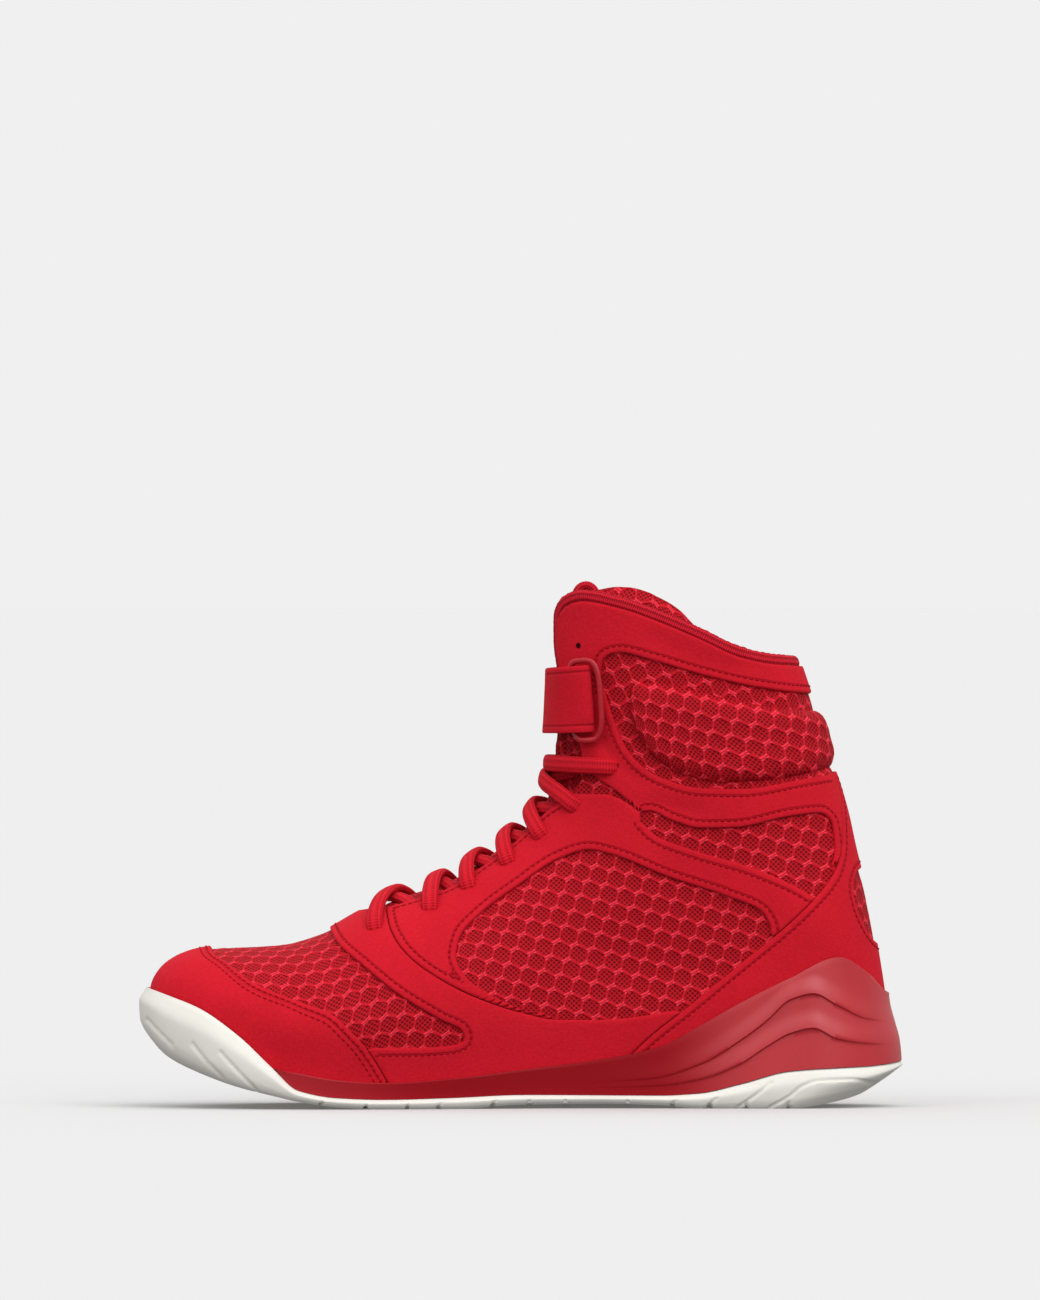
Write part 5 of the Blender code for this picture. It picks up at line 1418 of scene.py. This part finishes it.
@dataclass
class Outsole:
    """Off-white rubber cup: tread with flex grooves, ridged bumper at the toe, low edge at the heel."""

    columns: int = 1000
    side_rows: int = 26
    lip: float = 1.75
    groove_width: float = 1.6
    groove_depth: float = 1.1
    mark_depth: float = 0.5
    mark_width: float = 1.0
    sipe: tuple[float, float] = (-1.1, 2.3)
    bumper_marks: tuple[Line, ...] = (
        ((144.6, 34.2), (140.4, 29.8), (134.8, 24.6)),
        ((126.9, 25.2), (121.5, 18.6), (114.8, 12.0)),
        ((116.0, 22.1), (109.0, 14.5), (102.0, 7.4)))
    heel_marks: tuple[Line, ...] = (
        ((-71.8, 0.4), (-75.3, 3.9)),
        ((-84.2, 0.8), (-91.0, 5.5), (-96.6, 10.1)),
        ((-96.6, 0.8), (-104.0, 5.0), (-108.3, 8.5), (-115.2, 10.9), (-127.7, 11.3), (-137.4, 9.3)))

    def build(self) -> None:
        share = np.concatenate([np.linspace(0, 0.965, self.side_rows), [0.985, 0.996, 1.0]])[:, None]
        toe, heel = RUBBER_EDGE.read("toe", share), RUBBER_EDGE.read("heel", share)
        spread = RUBBER_EDGE.read("spread", share)
        base = ring_shares(self.columns)
        x = heel + (toe - heel) * base
        low, high = SOLE.read("tread", x), SOLE.read("rubber_top", x)
        groove = np.zeros_like(x)
        for place in FLEX_GROOVES:
            off = np.abs(x - place) / self.groove_width
            groove = np.maximum(groove, ease(off, 0.65, 0.35))
        z = low + share * (high - low) + groove * self.groove_depth * ease(share, 0.35, 0.0)
        edge_round = ease(share, 0.93, 1.0) * 0.7
        half = sole_half(x, toe, heel, spread - edge_round)
        rings = both_sides(x, half, z)[:, :-1]
        floors = [(place, float(SOLE.read("tread", place))) for place in FLEX_GROOVES[:-3]]
        sipes = tuple(((place, floor + 0.3), (place + self.sipe[0], floor + self.sipe[1]))
                      for place, floor in floors)
        marks = line_marks(rings, self.bumper_marks + self.heel_marks + sipes, self.mark_width)
        out = unit(np.cross(np.roll(rings, -1, 1) - np.roll(rings, 1, 1), np.gradient(rings, axis=0)))
        rings = rings - out * (marks * self.mark_depth)[..., None]
        inner_x = (LAST_HEEL - self.lip) + (LAST_TOE - LAST_HEEL + 2 * self.lip) * base
        top = SOLE.read("rubber_top", inner_x)
        inner_half = sole_half(inner_x, LAST_TOE + self.lip, LAST_HEEL - self.lip,
                               lip_spread(inner_x, top, self.lip))
        floor = np.minimum(top - 0.5, SOLE.read("footbed", inner_x))
        lips = both_sides(np.concatenate([inner_x] * 3), np.concatenate([inner_half] * 3),
                          np.concatenate([top, (top + floor) / 2, floor]))[:, :-1]
        rings = np.concatenate([rings, lips])
        piece = make_piece("outsole_rubber", rings, loft_faces(*rings.shape[:2]), Finish.RUBBER.material(),
                           sharp=42)
        declare(piece, "white_rubber", "outsole")


@dataclass
class Midsole:
    """Red foam: undercut along the forefoot, rising to a heel cup with two lapped waves on its side."""

    stations: int = 300
    front: float = 95.6
    lift: float = 0.15
    lap: float = 0.4
    fade: float = 8.0
    lip: float = 1.75
    band_rows: tuple[int, ...] = (8, 5, 8, 5, 12)
    waist_spread: tuple[float, float] = (1.5, 2.5)
    heel_spread: tuple[float, float] = (3.6, 2.5)
    drops: tuple[float, ...] = (1.2, 2.5, 5.0, 10.0)

    def levels(self, x: np.ndarray) -> tuple[np.ndarray, ...]:
        """Heights of the rubber, the two waves and the rim at places along the sole."""
        bottom = SOLE.read("rubber_top", x) + self.lift
        top = np.maximum(SOLE.read("foam_top", x), bottom + 0.3)
        room = top - bottom
        low = np.clip(WAVES.read("low", x), bottom + 0.2 * room, top - 0.5 * room)
        high = np.clip(WAVES.read("high", x), low + 0.15 * room, top - 0.2 * room)
        return bottom, low, high, top

    def wall(self, share: np.ndarray) -> tuple[np.ndarray, np.ndarray, np.ndarray]:
        """Places, half widths and heights of the outer wall's rows, from the rubber to the rim."""
        band = np.concatenate([np.full(count, i) for i, count in enumerate(self.band_rows)])
        step = np.concatenate([np.arange(count) / count for count in self.band_rows])[:, None]
        row = np.arange(len(band))
        x = np.broadcast_to(SOLE_HEEL + (self.front - SOLE_HEEL) * share, (len(band), share.shape[1]))
        for _ in range(4):
            bottom, low, high, top = self.levels(x)
            lap = np.minimum(self.lap, 0.06 * (top - bottom))
            marks = np.stack([bottom, low - lap, low + lap, high - lap, high + lap, top - lap])
            z = marks[band, row] * (1 - step) + marks[band + 1, row] * step
            heel = SOLE_HEEL + HEEL_LEAN.read("inset", z[:, -1:])
            x = heel + (self.front - heel) * share
        up, back = (z - bottom) / (top - bottom), ease(x, -20.0, -85.0)
        spread = sum(weight * (low_end + (high_end - low_end) * up) for weight, (low_end, high_end) in (
            (1 - back, self.waist_spread), (back, self.heel_spread)))
        for wave in (low, high):
            spread = spread + WAVES.read("depth", x) * ease(z - wave, -self.lap, self.lap) * ease(
                z - wave, self.fade, self.lap)
        return x, sole_half(x, SOLE_TOE, heel, spread), z

    def build(self) -> None:
        share = (1 - np.linspace(0, 1, self.stations)[None]) ** 2
        rows = [self.wall(share)]
        rim_x, rim_half = rows[0][0][-1:], rows[0][1][-1:]
        bottom, _, _, top = self.levels(rim_x)
        rows.append((rim_x, rim_half * 0.994, top - 0.1))
        rows.append((rim_x, rim_half * 0.980, top))
        for drop in self.drops:
            low = np.maximum(top - drop, bottom + 0.08)
            heel = HEEL.read("x", low[:, -1:]) - self.lip
            place = heel + (self.front - heel) * share
            rows.append((place, sole_half(place, SOLE_TOE, heel, lip_spread(place, low, self.lip)), low))
        sides = both_sides(*(np.concatenate([row[i] for row in rows]) for i in range(3)))
        section_rows, columns = sides.shape[:2]
        points = np.swapaxes(sides, 0, 1)
        faces = list(grid_faces(columns, section_rows, True))
        faces += [np.arange(section_rows)[::-1], np.arange(section_rows) + (columns - 1) * section_rows]
        # Share of painted shade on the foam: full along the waist, half at the toe, none at the heel.
        painted_waist_shade = ease(points[..., 0], -100.0, -45.0) * (1 - 0.5 * ease(points[..., 0], 20.0, 90.0))
        piece = make_piece("midsole_foam", points, faces, Finish.FOAM.material(), {"painted_waist_shade": painted_waist_shade.ravel()},
                           sharp=40)
        declare(piece, "red_foam", "midsole")


# Cords, straps and soft pieces

def section(count: int, square: float = 1.0) -> np.ndarray:
    """Corners of a round section, squarer as square goes from 1 towards 0."""
    turn = np.linspace(0, 2 * np.pi, count, endpoint=False)
    corner = np.stack([np.cos(turn), np.sin(turn)], axis=1)
    return np.sign(corner) * np.abs(corner) ** square


def cord(name: str, path: np.ndarray, out: np.ndarray, width: float | np.ndarray,
         thickness: float | np.ndarray, finish: Finish, sides: int = 18, square: float = 0.8,
         closed: bool = False) -> bpy.types.Object:
    """Makes a cord or bar along a path.

    Args:
        name: the piece's name.
        path: points along its middle.
        out: directions of its thickness there.
        width, thickness: its full sizes, as numbers or one for each point.
        finish: its finish.
        sides: corners of its section.
        square: squareness of its section.
        closed: whether the path closes on itself.

    Returns:
        The piece, with places along and round it kept for its finish.
    """
    if closed:
        ahead = unit(np.roll(path, -1, axis=0) - np.roll(path, 1, axis=0))
    else:
        ahead = unit(np.gradient(path, axis=0))
    across = unit(np.cross(out, ahead))
    thick = unit(np.cross(ahead, across))
    count = len(path)
    wide = np.broadcast_to(np.asarray(width, float), (count,)) / 2
    tall = np.broadcast_to(np.asarray(thickness, float), (count,)) / 2
    shape = section(sides, square)
    points = (path[:, None] + across[:, None] * (wide[:, None] * shape[:, 0])[..., None]
              + thick[:, None] * (tall[:, None] * shape[:, 1])[..., None])
    faces = grid_faces(count, sides, True)
    if closed:
        last_row = np.stack([np.arange(sides), (np.arange(sides) + 1) % sides], axis=1)
        joint = np.concatenate([last_row + (count - 1) * sides, last_row[:, ::-1]], axis=1)
        faces = list(np.concatenate([faces, joint]))
    else:
        faces = list(faces) + [np.arange(sides)[::-1], np.arange(sides) + (count - 1) * sides]
    run = runs(path)
    round_place = np.arange(sides) / sides * 2 * (wide.mean() + tall.mean())
    cloth = np.stack(np.broadcast_arrays(run[:, None], round_place[None], 0.0), axis=-1).reshape(-1, 3)
    return make_piece(name, points, faces, finish.material(), {"cloth": cloth}, sharp=60)


EYELETS: Line = (
    (56.3, 67.5), (35.3, 74.9), (19.8, 83.4), (4.3, 93.1), (-8.9, 103.6), (-22.9, 115.2), (-38.0, 131.5))


@dataclass
class Lacing:
    """Oval lace: crossings over the tongue from hole to hole and a bar at the top holes."""

    last: Last
    width: float = 6.5
    thickness: float = 3.4
    points: int = 90
    tuck_place: float = 2.5
    tuck_back: float = 2.0
    over: Line = ((0.0, -1.4), (0.025, 0.9), (0.07, 2.7), (0.13, 3.4), (0.35, 3.7), (0.60, 3.5), (0.80, 1.0),
                  (1.0, -4.0))
    under: Line = ((0.0, -1.4), (0.025, 0.9), (0.07, 2.7), (0.13, 3.4), (0.33, 3.3), (0.58, 0.5),
                   (0.80, -1.4), (1.0, -4.0))
    bar: Line = ((0.0, -1.4), (0.015, 0.9), (0.04, 2.7), (0.08, 3.4), (0.25, 3.6), (0.5, 2.6), (0.75, 3.6),
                 (0.92, 3.4), (0.96, 2.7), (0.985, 0.9), (1.0, -1.4))
    hole_back: float = 0.9
    end_round: float = 3.0
    hole_radius: float = 1.4
    hole_corners: int = 20
    hole_dish: Line = ((0.06, 1.0), (0.02, 0.8), (-0.5, 0.95))
    flap_hole: tuple[tuple[float, float], float] = ((-23.1, 178.9), 1.1)

    def stretch(self, name: str, start: tuple[float, float], end: tuple[float, float],
                lifts: Line) -> bpy.types.Object:
        """Makes one stretch of lace between two run and place pairs."""
        share = (1 - np.cos(np.linspace(0, np.pi, self.points))) / 2
        run, place = (start[i] + (end[i] - start[i]) * share for i in (0, 1))
        known = np.array(lifts)
        lift = smooth(known[:, 0], known[:, 1], share)
        base = self.last.over_front(run, place)
        out = self.last.normal(base)
        path = base + out * lift[:, None]
        run = runs(path)
        ends = rounded((np.minimum(run, run[-1] - run) + 0.25) / self.end_round)
        slim = ends * (0.8 + 0.2 * ease(lift, -1.4, 2.2))
        return cord(name, path, out, self.width * slim, self.thickness * slim, Finish.LACE)

    def holes(self) -> bpy.types.Object:
        """Paints the punched holes as near-black dishes on the eyestays and flaps: painted shade for the
        holes' dark insides.
        """
        points, faces = [], []
        count, rings = self.hole_corners, len(self.hole_dish)
        turn = np.linspace(0, 2 * np.pi, count, endpoint=False)[:, None]
        spots = [((x + self.hole_back, z + self.hole_back), self.hole_radius) for x, z in EYELETS]
        for (x, z), radius in spots + [self.flap_hole]:
            for side in Side:
                middle = self.last.at(np.array(x), np.array(z), side.value)
                out = self.last.normal(middle)
                level = unit(np.cross(out, [0.0, 0.0, 1.0]))
                circle = np.cos(turn) * level + np.sin(turn) * np.cross(out, level)
                first = len(points)
                for lift, size in self.hole_dish:
                    points.extend(middle + out * (GAP + OVERLAY + lift) + radius * size * circle)
                faces.extend(list(grid_faces(rings, count, True, first, flip=True)))
                faces.append(np.arange(count) + first)
                faces.append(np.arange(count)[::-1] + first + (rings - 1) * count)
        return make_piece("lacing_hole_shades", np.array(points), faces, Finish.HOLE_SHADE.material())

    def build(self) -> None:
        spots = np.array(EYELETS)
        run, depth = self.last.under_ridge(spots[:, 0], spots[:, 1])
        place = np.sqrt(depth)
        for i in range(len(spots) - 1):
            end = run[i + 1] - self.tuck_back
            near = self.stretch(f"lace_over_{i + 1}", (run[i], place[i]), (end, -self.tuck_place), self.over)
            declare(near, "red_lace", f"lace_cross_{i + 1}")
            far = self.stretch(f"lace_under_{i + 1}", (run[i], -place[i]), (end, self.tuck_place), self.under)
            declare(far, "red_lace")
        top = self.stretch("lace_bar", (run[-1], place[-1]), (run[-1], -place[-1]), self.bar)
        declare(top, "red_lace", "lace_top_bar")
        declare(self.holes(), "red_suede")


@dataclass
class Binding:
    """Knitted roll round the collar, from one front flap to the other."""

    last: Last
    foot: float = 165.0
    height: float = 5.0
    thickness: float = 3.8
    lift: float = 2.2
    points: int = 900

    def build(self) -> None:
        turn = np.linspace(0.02, 1.98, self.points)
        rim, below = self.last.place(turn, np.ones(1)), self.last.place(turn, np.full(1, 0.985))
        up = unit(rim - below)
        out = self.last.normal(below)
        path = rim - out * WALL / 2 + up * self.lift
        kept = rim[:, 2] > self.foot
        first, last = np.flatnonzero(kept)[[0, -1]]
        path, out = path[first:last + 1], out[first:last + 1]
        run = runs(path)
        wobble = 1 + 0.05 * np.sin(run * 2 * np.pi / 3.1) + 0.03 * np.sin(run * 2 * np.pi / 11)
        piece = cord("collar_roll", path, out, self.height * wobble, self.thickness, Finish.KNIT, 20, 0.9)
        declare(piece, "red_knit", "collar_binding")


STRAP = (
    (-4.6, 3.2), (-3.4, 3.2), (-2.2, 3.1), (-1.1, 1.4), (0.0, 0.4), (1.1, 1.4), (2.2, 2.9), (3.2, 2.9),
    (3.75, 2.9), (4.1, 3.6), (4.2, 5.2), (4.05, 6.8), (3.7, 7.4), (3.1, 7.2), (2.2, 5.6), (1.1, 3.8),
    (0.0, 2.6), (-1.1, 3.7), (-2.2, 5.4), (-3.4, 5.5), (-5.2, 5.5))


@dataclass
class AnkleStrap:
    """Suede strap round the front of the ankle, folded through a glossy ring on the inner side."""

    last: Last
    width: float = 25.2
    thickness: float = 1.6
    height: float = 157.5
    stitch_inset: float = 2.5
    steps: int = 220
    rows: int = 23
    fold: int = 12
    ring_centre: tuple[float, float] = (3.95, 157.0)
    ring_half: tuple[float, float] = (0.66, 15.2)
    ring_lift: float = 5.1
    ring_bar: tuple[float, float] = (2.3, 1.9)
    ring_square: float = 0.55
    ring_points: int = 140
    lean: float = 0.135
    lean_back: float = 0.8
    lean_reach: float = 2.4

    def route(self, heights: np.ndarray) -> tuple[np.ndarray, np.ndarray, np.ndarray]:
        """Middle of the strap at heights, the directions of its thickness and the places of its steps."""
        known = np.array(STRAP)
        count = np.arange(len(known), dtype=float)
        at = np.linspace(0, count[-1], self.steps)
        place, lift = smooth(count, known[:, 0], at), smooth(count, known[:, 1], at)
        run = self.last.run_at_height(heights)[:, None] * np.ones_like(place)
        base = self.last.over_front(run, place[None])
        middle = base + self.last.normal(base) * lift[None, :, None]
        front = np.exp(-((place / self.lean_reach) ** 2))[None]
        middle[..., 0] -= front * (self.lean_back + self.lean * (heights - self.height))[:, None]
        for _ in range(3):
            middle[:, 1:-1] = (middle[:, :-2] + 2 * middle[:, 1:-1] + middle[:, 2:]) / 4
        thick = unit(np.cross(unit(np.gradient(middle, axis=1)), [0, 0, 1.0]))
        return middle, thick, at

    def strap(self) -> tuple[bpy.types.Object, np.ndarray, np.ndarray]:
        """Makes the strap, and gives the points and edges of its two lines of stitches."""
        across = np.sin(np.linspace(-np.pi / 2, np.pi / 2, self.rows))
        heights = self.height + across * self.width / 2
        middle, thick, at = self.route(heights)
        from_edge = (1 - np.abs(across)) * self.width / 2
        half = self.thickness / 2 * rounded((from_edge + 0.12) / 0.9)[:, None, None]
        points = np.concatenate([middle + thick * half, middle - thick * half])
        faces = shell_faces(self.rows, self.steps, False)
        edge = np.repeat(from_edge, self.steps)
        sewn = edge + Finish.SUEDE.value.stitch_inset - self.stitch_inset
        values = {"edge": np.concatenate([edge + 0.4] * 2), "sewn": np.concatenate([sewn] * 2)}
        piece = make_piece("ankle_strap", points, faces, Finish.SUEDE.material(), values)
        lines, edges = [], []
        outer = np.flatnonzero(at > self.fold)
        for end in (-1, 1):
            level = self.height + end * (self.width / 2 - self.stitch_inset)
            middle, thick, _ = self.route(np.array([level]))
            path = (middle + thick * (self.thickness / 2 + 0.05))[0, outer]
            edges += [(len(lines) + i, len(lines) + i + 1) for i in range(len(path) - 1)]
            lines += list(path)
        return piece, np.array(lines), np.array(edges)

    def ring(self) -> bpy.types.Object:
        """Makes the moulded ring."""
        shape = section(self.ring_points, self.ring_square).T
        place = self.ring_centre[0] + self.ring_half[0] * shape[0]
        run = self.last.run_at_height(self.ring_centre[1] + self.ring_half[1] * shape[1])
        base = self.last.over_front(run, place)
        out = self.last.normal(base)
        path = base + out * self.ring_lift
        for _ in range(6):
            path = (np.roll(path, 1, 0) + 2 * path + np.roll(path, -1, 0)) / 4
        return cord("ring_moulding", path, out, *self.ring_bar, Finish.RING, 16, 0.9, closed=True)

    def build(self) -> None:
        piece, lines, edges = self.strap()
        declare(piece, "red_suede", "strap")
        declare(Stitching(length=1.8).sew("strap_stitches", lines, edges), "red_suede")
        declare(self.ring(), "red_moulding", "strap_ring")


def puffed(points: np.ndarray, faces: np.ndarray, free: np.ndarray, pressure: float, cap: float,
           frames: int = 20) -> np.ndarray:
    """Swells a closed soft form by cloth simulation.

    Args:
        points: its corners in millimetres.
        faces: its faces.
        free: corners that may move, the others are pinned.
        pressure: pressure inside.
        cap: the furthest that a corner may move.
        frames: length of the simulation.

    Returns:
        The corners after the simulation.
    """
    piece = make_piece("puff", points, faces, Finish.LINING.material())
    piece.vertex_groups.new(name="pinned").add(np.flatnonzero(~free).tolist(), 1.0, "REPLACE")
    change = piece.modifiers.new("cloth", "CLOTH")
    cloth = change.settings
    cloth.use_pressure = True
    cloth.uniform_pressure_force = pressure
    cloth.vertex_group_mass = "pinned"
    cloth.effector_weights.gravity = 0.0
    cloth.tension_stiffness = cloth.compression_stiffness = 25.0
    cloth.bending_stiffness = 0.2
    change.point_cache.frame_start, change.point_cache.frame_end = 1, frames
    scene = bpy.context.scene
    for frame in range(1, frames + 1):
        scene.frame_set(frame)
    graph = bpy.context.evaluated_depsgraph_get()
    result = piece.evaluated_get(graph).to_mesh()
    moved = np.zeros(len(points) * 3)
    result.vertices.foreach_get("co", moved)
    scene.frame_set(1)
    piece.modifiers.remove(change)
    bpy.data.objects.remove(piece)
    step = moved.reshape(-1, 3) / MM - points
    size = np.linalg.norm(step, axis=1, keepdims=True)
    return points + step * np.minimum(1, cap / np.maximum(size, 1e-9))


def two_faces(outer: np.ndarray, inner: np.ndarray) -> np.ndarray:
    """Points of an outer and an inner grid, one after the other."""
    return np.concatenate([outer.reshape(-1, 3), inner.reshape(-1, 3)])


def swelling(outer: np.ndarray, inner: np.ndarray, out: np.ndarray, pressure: float,
             cap: float) -> np.ndarray:
    """Height that the outer face of a padded form gains in a cloth simulation.

    Args:
        outer, inner: grids of its two faces.
        out: outward directions of the outer one.
        pressure: pressure inside.
        cap: the furthest that a corner may move.

    Returns:
        Height at each point of the grid, zero on its border.
    """
    rows, columns = outer.shape[:2]
    points = two_faces(outer, inner)
    free = np.zeros((2, rows, columns), bool)
    free[0, 1:-1, 1:-1] = True
    blown = puffed(points, shell_faces(rows, columns, False), free.ravel(), pressure, cap)
    return ((blown - points)[:rows * columns].reshape(rows, columns, 3) * out).sum(axis=2)


def finer(grid: np.ndarray, rows: int, columns: int) -> np.ndarray:
    """A grid of values read on smooth curves at more rows and columns."""
    def stretch(values: np.ndarray, count: int) -> np.ndarray:
        """Reads the first axis at evenly spaced places."""
        place = np.linspace(0, len(values) - 1, count)
        i = np.clip(place.astype(int), 0, len(values) - 2)
        u = (place - i).reshape(-1, *([1] * (values.ndim - 1)))
        before, after = np.maximum(i - 1, 0), np.minimum(i + 2, len(values) - 1)
        a, b, c, d = values[before], values[i], values[i + 1], values[after]
        return b + 0.5 * u * (c - a + u * (2 * a - 5 * b + 4 * c - d + u * (3 * (b - c) + d - a)))

    return np.swapaxes(stretch(np.swapaxes(stretch(grid, rows), 0, 1), columns), 0, 1)


PAD = Table("x low high", (
    (-118, 131.4, 153.6), (-108, 129.2, 154.4), (-93, 126.8, 156.6), (-77, 125.8, 160.0), (-65, 127.8, 162.8),
    (-54, 133.4, 164.6), (-47, 141.6, 164.8), (-42, 152.0, 162.0)))


@dataclass
class CollarPad:
    """Puffed mesh ring round the back of the ankle, swollen by a short cloth simulation."""

    last: Last
    lift: float = 5.2
    bottom: float = -1.0
    edge: float = 0.3
    edge_round: float = 8.0
    relief: float = 0.4
    coarse: tuple[int, int] = (17, 97)
    fine: tuple[int, int] = (52, 330)
    pressure: float = 6.0
    cap: float = 1.6

    def border(self, base: np.ndarray) -> tuple[np.ndarray, np.ndarray]:
        """Distance of the grid's points from its border, and their place round the ankle."""
        up, around = grid_runs(base, 0), grid_runs(base, 1)
        near = np.minimum(np.minimum(up, up[-1:] - up), np.minimum(around, around[:, -1:] - around))
        return near, around - around[:, [base.shape[1] // 2]]

    def surface(self, rows: int, columns: int) -> tuple[np.ndarray, np.ndarray]:
        """Points of the last under the pad, and their outward directions."""
        turn = np.linspace(1, -1, columns)
        back, end = PAD.rows[0][0], PAD.rows[-1][0]
        x = back + (end - back) * turn**2
        share = np.linspace(0, 1, rows)[:, None]
        z = PAD.read("low", x)[None] + share * (PAD.read("high", x) - PAD.read("low", x))[None]
        heel = HEEL.read("x", z)
        x = heel + (end - heel) * (turn**2)[None]
        points = self.last.at(x, z, np.sign(np.round(turn, 9))[None] * np.ones_like(z))
        out = unit(np.cross(np.gradient(points, axis=1), np.gradient(points, axis=0)))
        return points, out

    def height(self, near: np.ndarray) -> np.ndarray:
        """Height of the pad over the last at distances from its border."""
        return self.bottom + self.edge + self.lift * rounded(near / self.edge_round)

    def build(self) -> None:
        base, out = self.surface(*self.coarse)
        near, _ = self.border(base)
        outer = base + out * self.height(near)[..., None]
        step = finer(swelling(outer, base + out * self.bottom, out, self.pressure, self.cap), *self.fine)
        base, out = self.surface(*self.fine)
        near, around = self.border(base)
        height = self.height(near) + step * ease(near, 0.0, 3.0)
        u, v = -around, base[..., 2] * np.ones_like(around)
        ribs = Finish.MESH.value.lattice.ribs(u, v) * ease(near, 1.5, 5.0)
        pucker = 0.14 * np.sin(around * 2 * np.pi / 6.0) * ease(near, 5.0, 2.0) * ease(near, 0.0, 1.5)
        outer = base + out * (height + self.relief * ribs + pucker)[..., None]
        cloth = np.stack([u, v, np.zeros_like(u)], axis=-1)
        piece = make_piece("collar_puff", two_faces(outer, base + out * self.bottom),
                           shell_faces(*self.fine, False), Finish.MESH.material(),
                           {"cloth": two_faces(cloth, cloth)}, sharp=80)
        declare(piece, "red_mesh", "collar_pad")


TONGUE = Table("run sink reach thickness", (
    (0.0, 3.4, 6.0, 4.0), (0.1, 3.4, 9.0, 5.0), (0.4, 3.4, 14.0, 5.0), (0.6, 3.6, 22.0, 5.0),
    (0.75, 4.8, 34.0, 6.5), (0.9, 7.8, 51.0, 9.0), (1.0, 9.6, 57.0, 10.5)))
TONGUE_CREST = Table("depth drop", ((0, -1.5), (14, -3.5), (26, -5.0), (38, -3.0), (48, 3.0), (57, 12.0)))


@dataclass
class Tongue:
    """Padded mesh tongue, flat under the laces, wrapping round the shin above them, with its pull loop."""

    last: Last
    foot: tuple[float, float] = (66.0, 72.7)
    top: float = 197.5
    crown: float = 2.2
    crown_depth: float = 4.0
    thinning: float = 0.55
    coarse: tuple[int, int] = (45, 41)
    fine: tuple[int, int] = (214, 128)
    relief: float = 0.4
    pressure: float = 5.0
    cap: float = 1.6
    loop_centre: tuple[float, float] = (-25.2, 197.4)
    loop_size: tuple[float, float, float] = (4.0, 4.7, 12.0)
    loop_middle: float = -1.5
    loop_thickness: float = 3.2
    loop_points: int = 60

    def faces_of(self, rows: int, columns: int) -> tuple[np.ndarray, ...]:
        """Outer and inner grid of the tongue, its outward directions and the two shares of the grid."""
        start = float(self.last.under_ridge(np.array([self.foot[0]]), np.array([self.foot[1]]))[0][0])
        end = float(self.last.run_at_height(self.top))
        share = np.linspace(0, 1, rows)[:, None]
        across = np.linspace(-1, 1, columns)[None]
        place = across * np.sqrt(TONGUE.read("reach", share))
        depth = place**2
        run = start + share * (end - start) - TONGUE_CREST.read("drop", depth) * share**4
        base = self.last.over_front(run, place)
        out = self.last.normal(base)
        crown = self.crown * np.clip(1 - depth / self.crown_depth, 0, 1) * ease(share, 0.0, 0.05)
        sink = TONGUE.read("sink", share) - crown
        thick = TONGUE.read("thickness", share) * (1 - self.thinning * np.abs(across) ** 3)
        return base - out * sink[..., None], base - out * (sink + thick)[..., None], out, share, across

    def build(self) -> None:
        step = finer(swelling(*self.faces_of(*self.coarse)[:3], self.pressure, self.cap), *self.fine)
        outer, inner, out, share, across = self.faces_of(*self.fine)
        middle = self.fine[1] // 2
        over = grid_runs(outer, 1)
        over -= over[:, [middle]]
        up = np.broadcast_to(grid_runs(outer, 0)[:, [middle]], over.shape)
        ribs = Finish.MESH.value.lattice.ribs(over, up)
        pleats = 0.7 * np.sin(over * 2 * np.pi / 5.5) * ease(np.abs(outer[..., 2] - 136), 13, 4)
        edge = np.minimum(np.minimum(share, 1 - share) * 30, (1 - np.abs(across)) * 14)
        roll = ease(edge, 0.0, 1.0)
        height = (step + pleats + self.relief * ribs) * roll - 2.2 * (1 - roll) * ease(share, 0.8, 1.0)
        outer = outer + out * height[..., None]
        cloth = np.stack([over, up, np.zeros_like(over)], axis=-1)
        behind = cloth + np.linalg.norm(outer - inner, axis=2)[..., None] * [0, 1, 0]
        piece = make_piece("tongue_pad", two_faces(outer, inner), shell_faces(*self.fine, False)[:, ::-1],
                           Finish.MESH.material(), {"cloth": two_faces(cloth, behind)}, sharp=80)
        declare(piece, "red_mesh", "tongue")
        turn = np.linspace(np.pi, 0, self.loop_points)
        half, height, width = self.loop_size
        path = np.stack([self.loop_centre[0] - half * np.cos(turn), np.full_like(turn, self.loop_middle),
                         self.loop_centre[1] + height * np.sin(turn)], axis=1)
        out = unit(np.stack([-np.cos(turn), np.zeros_like(turn), np.sin(turn)], axis=1))
        loop = cord("pull_loop_webbing", path, out, width, self.loop_thickness, Finish.KNIT, 24, 0.45)
        declare(loop, "red_knit", "pull_loop")


@dataclass
class Insole:
    """Plain footbed inside the upper, slightly dished."""

    toe: float = 135.4
    heel: float = -138.7
    inset: float = 3.2
    lift: float = 3.4
    thickness: float = 3.0
    columns: int = 160

    def build(self) -> None:
        base = ring_shares(self.columns)
        levels = np.array([0.0, 0.3, 0.85, 1.0])[:, None]
        round_in = np.array([0.0, 0.0, 0.0, 1.2])[:, None]
        toe, heel = self.toe - round_in, self.heel + round_in
        x = heel + (toe - heel) * base
        z = SOLE.read("footbed", x) + self.lift - self.thickness * (1 - levels)
        rings = both_sides(x, sole_half(x, toe, heel, -self.inset - round_in), z)[:, :-1]
        piece = make_piece("footbed", rings, loft_faces(*rings.shape[:2]), Finish.LINING.material(),
                           {"cloth": rings.reshape(-1, 3)})
        declare(piece, "dark_lining", "insole")


# Making the shoe

def main() -> None:
    """Builds every sub-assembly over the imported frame."""
    logging.basicConfig(level=logging.INFO, format="%(name)s: %(message)s")
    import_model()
    Studio().build()
    last = Last()
    Upper(last).build()
    Outsole().build()
    Midsole().build()
    Insole().build()
    Tongue(last).build()
    CollarPad(last).build()
    Binding(last).build()
    Lacing(last).build()
    AnkleStrap(last).build()


if __name__ == "__main__":
    main()
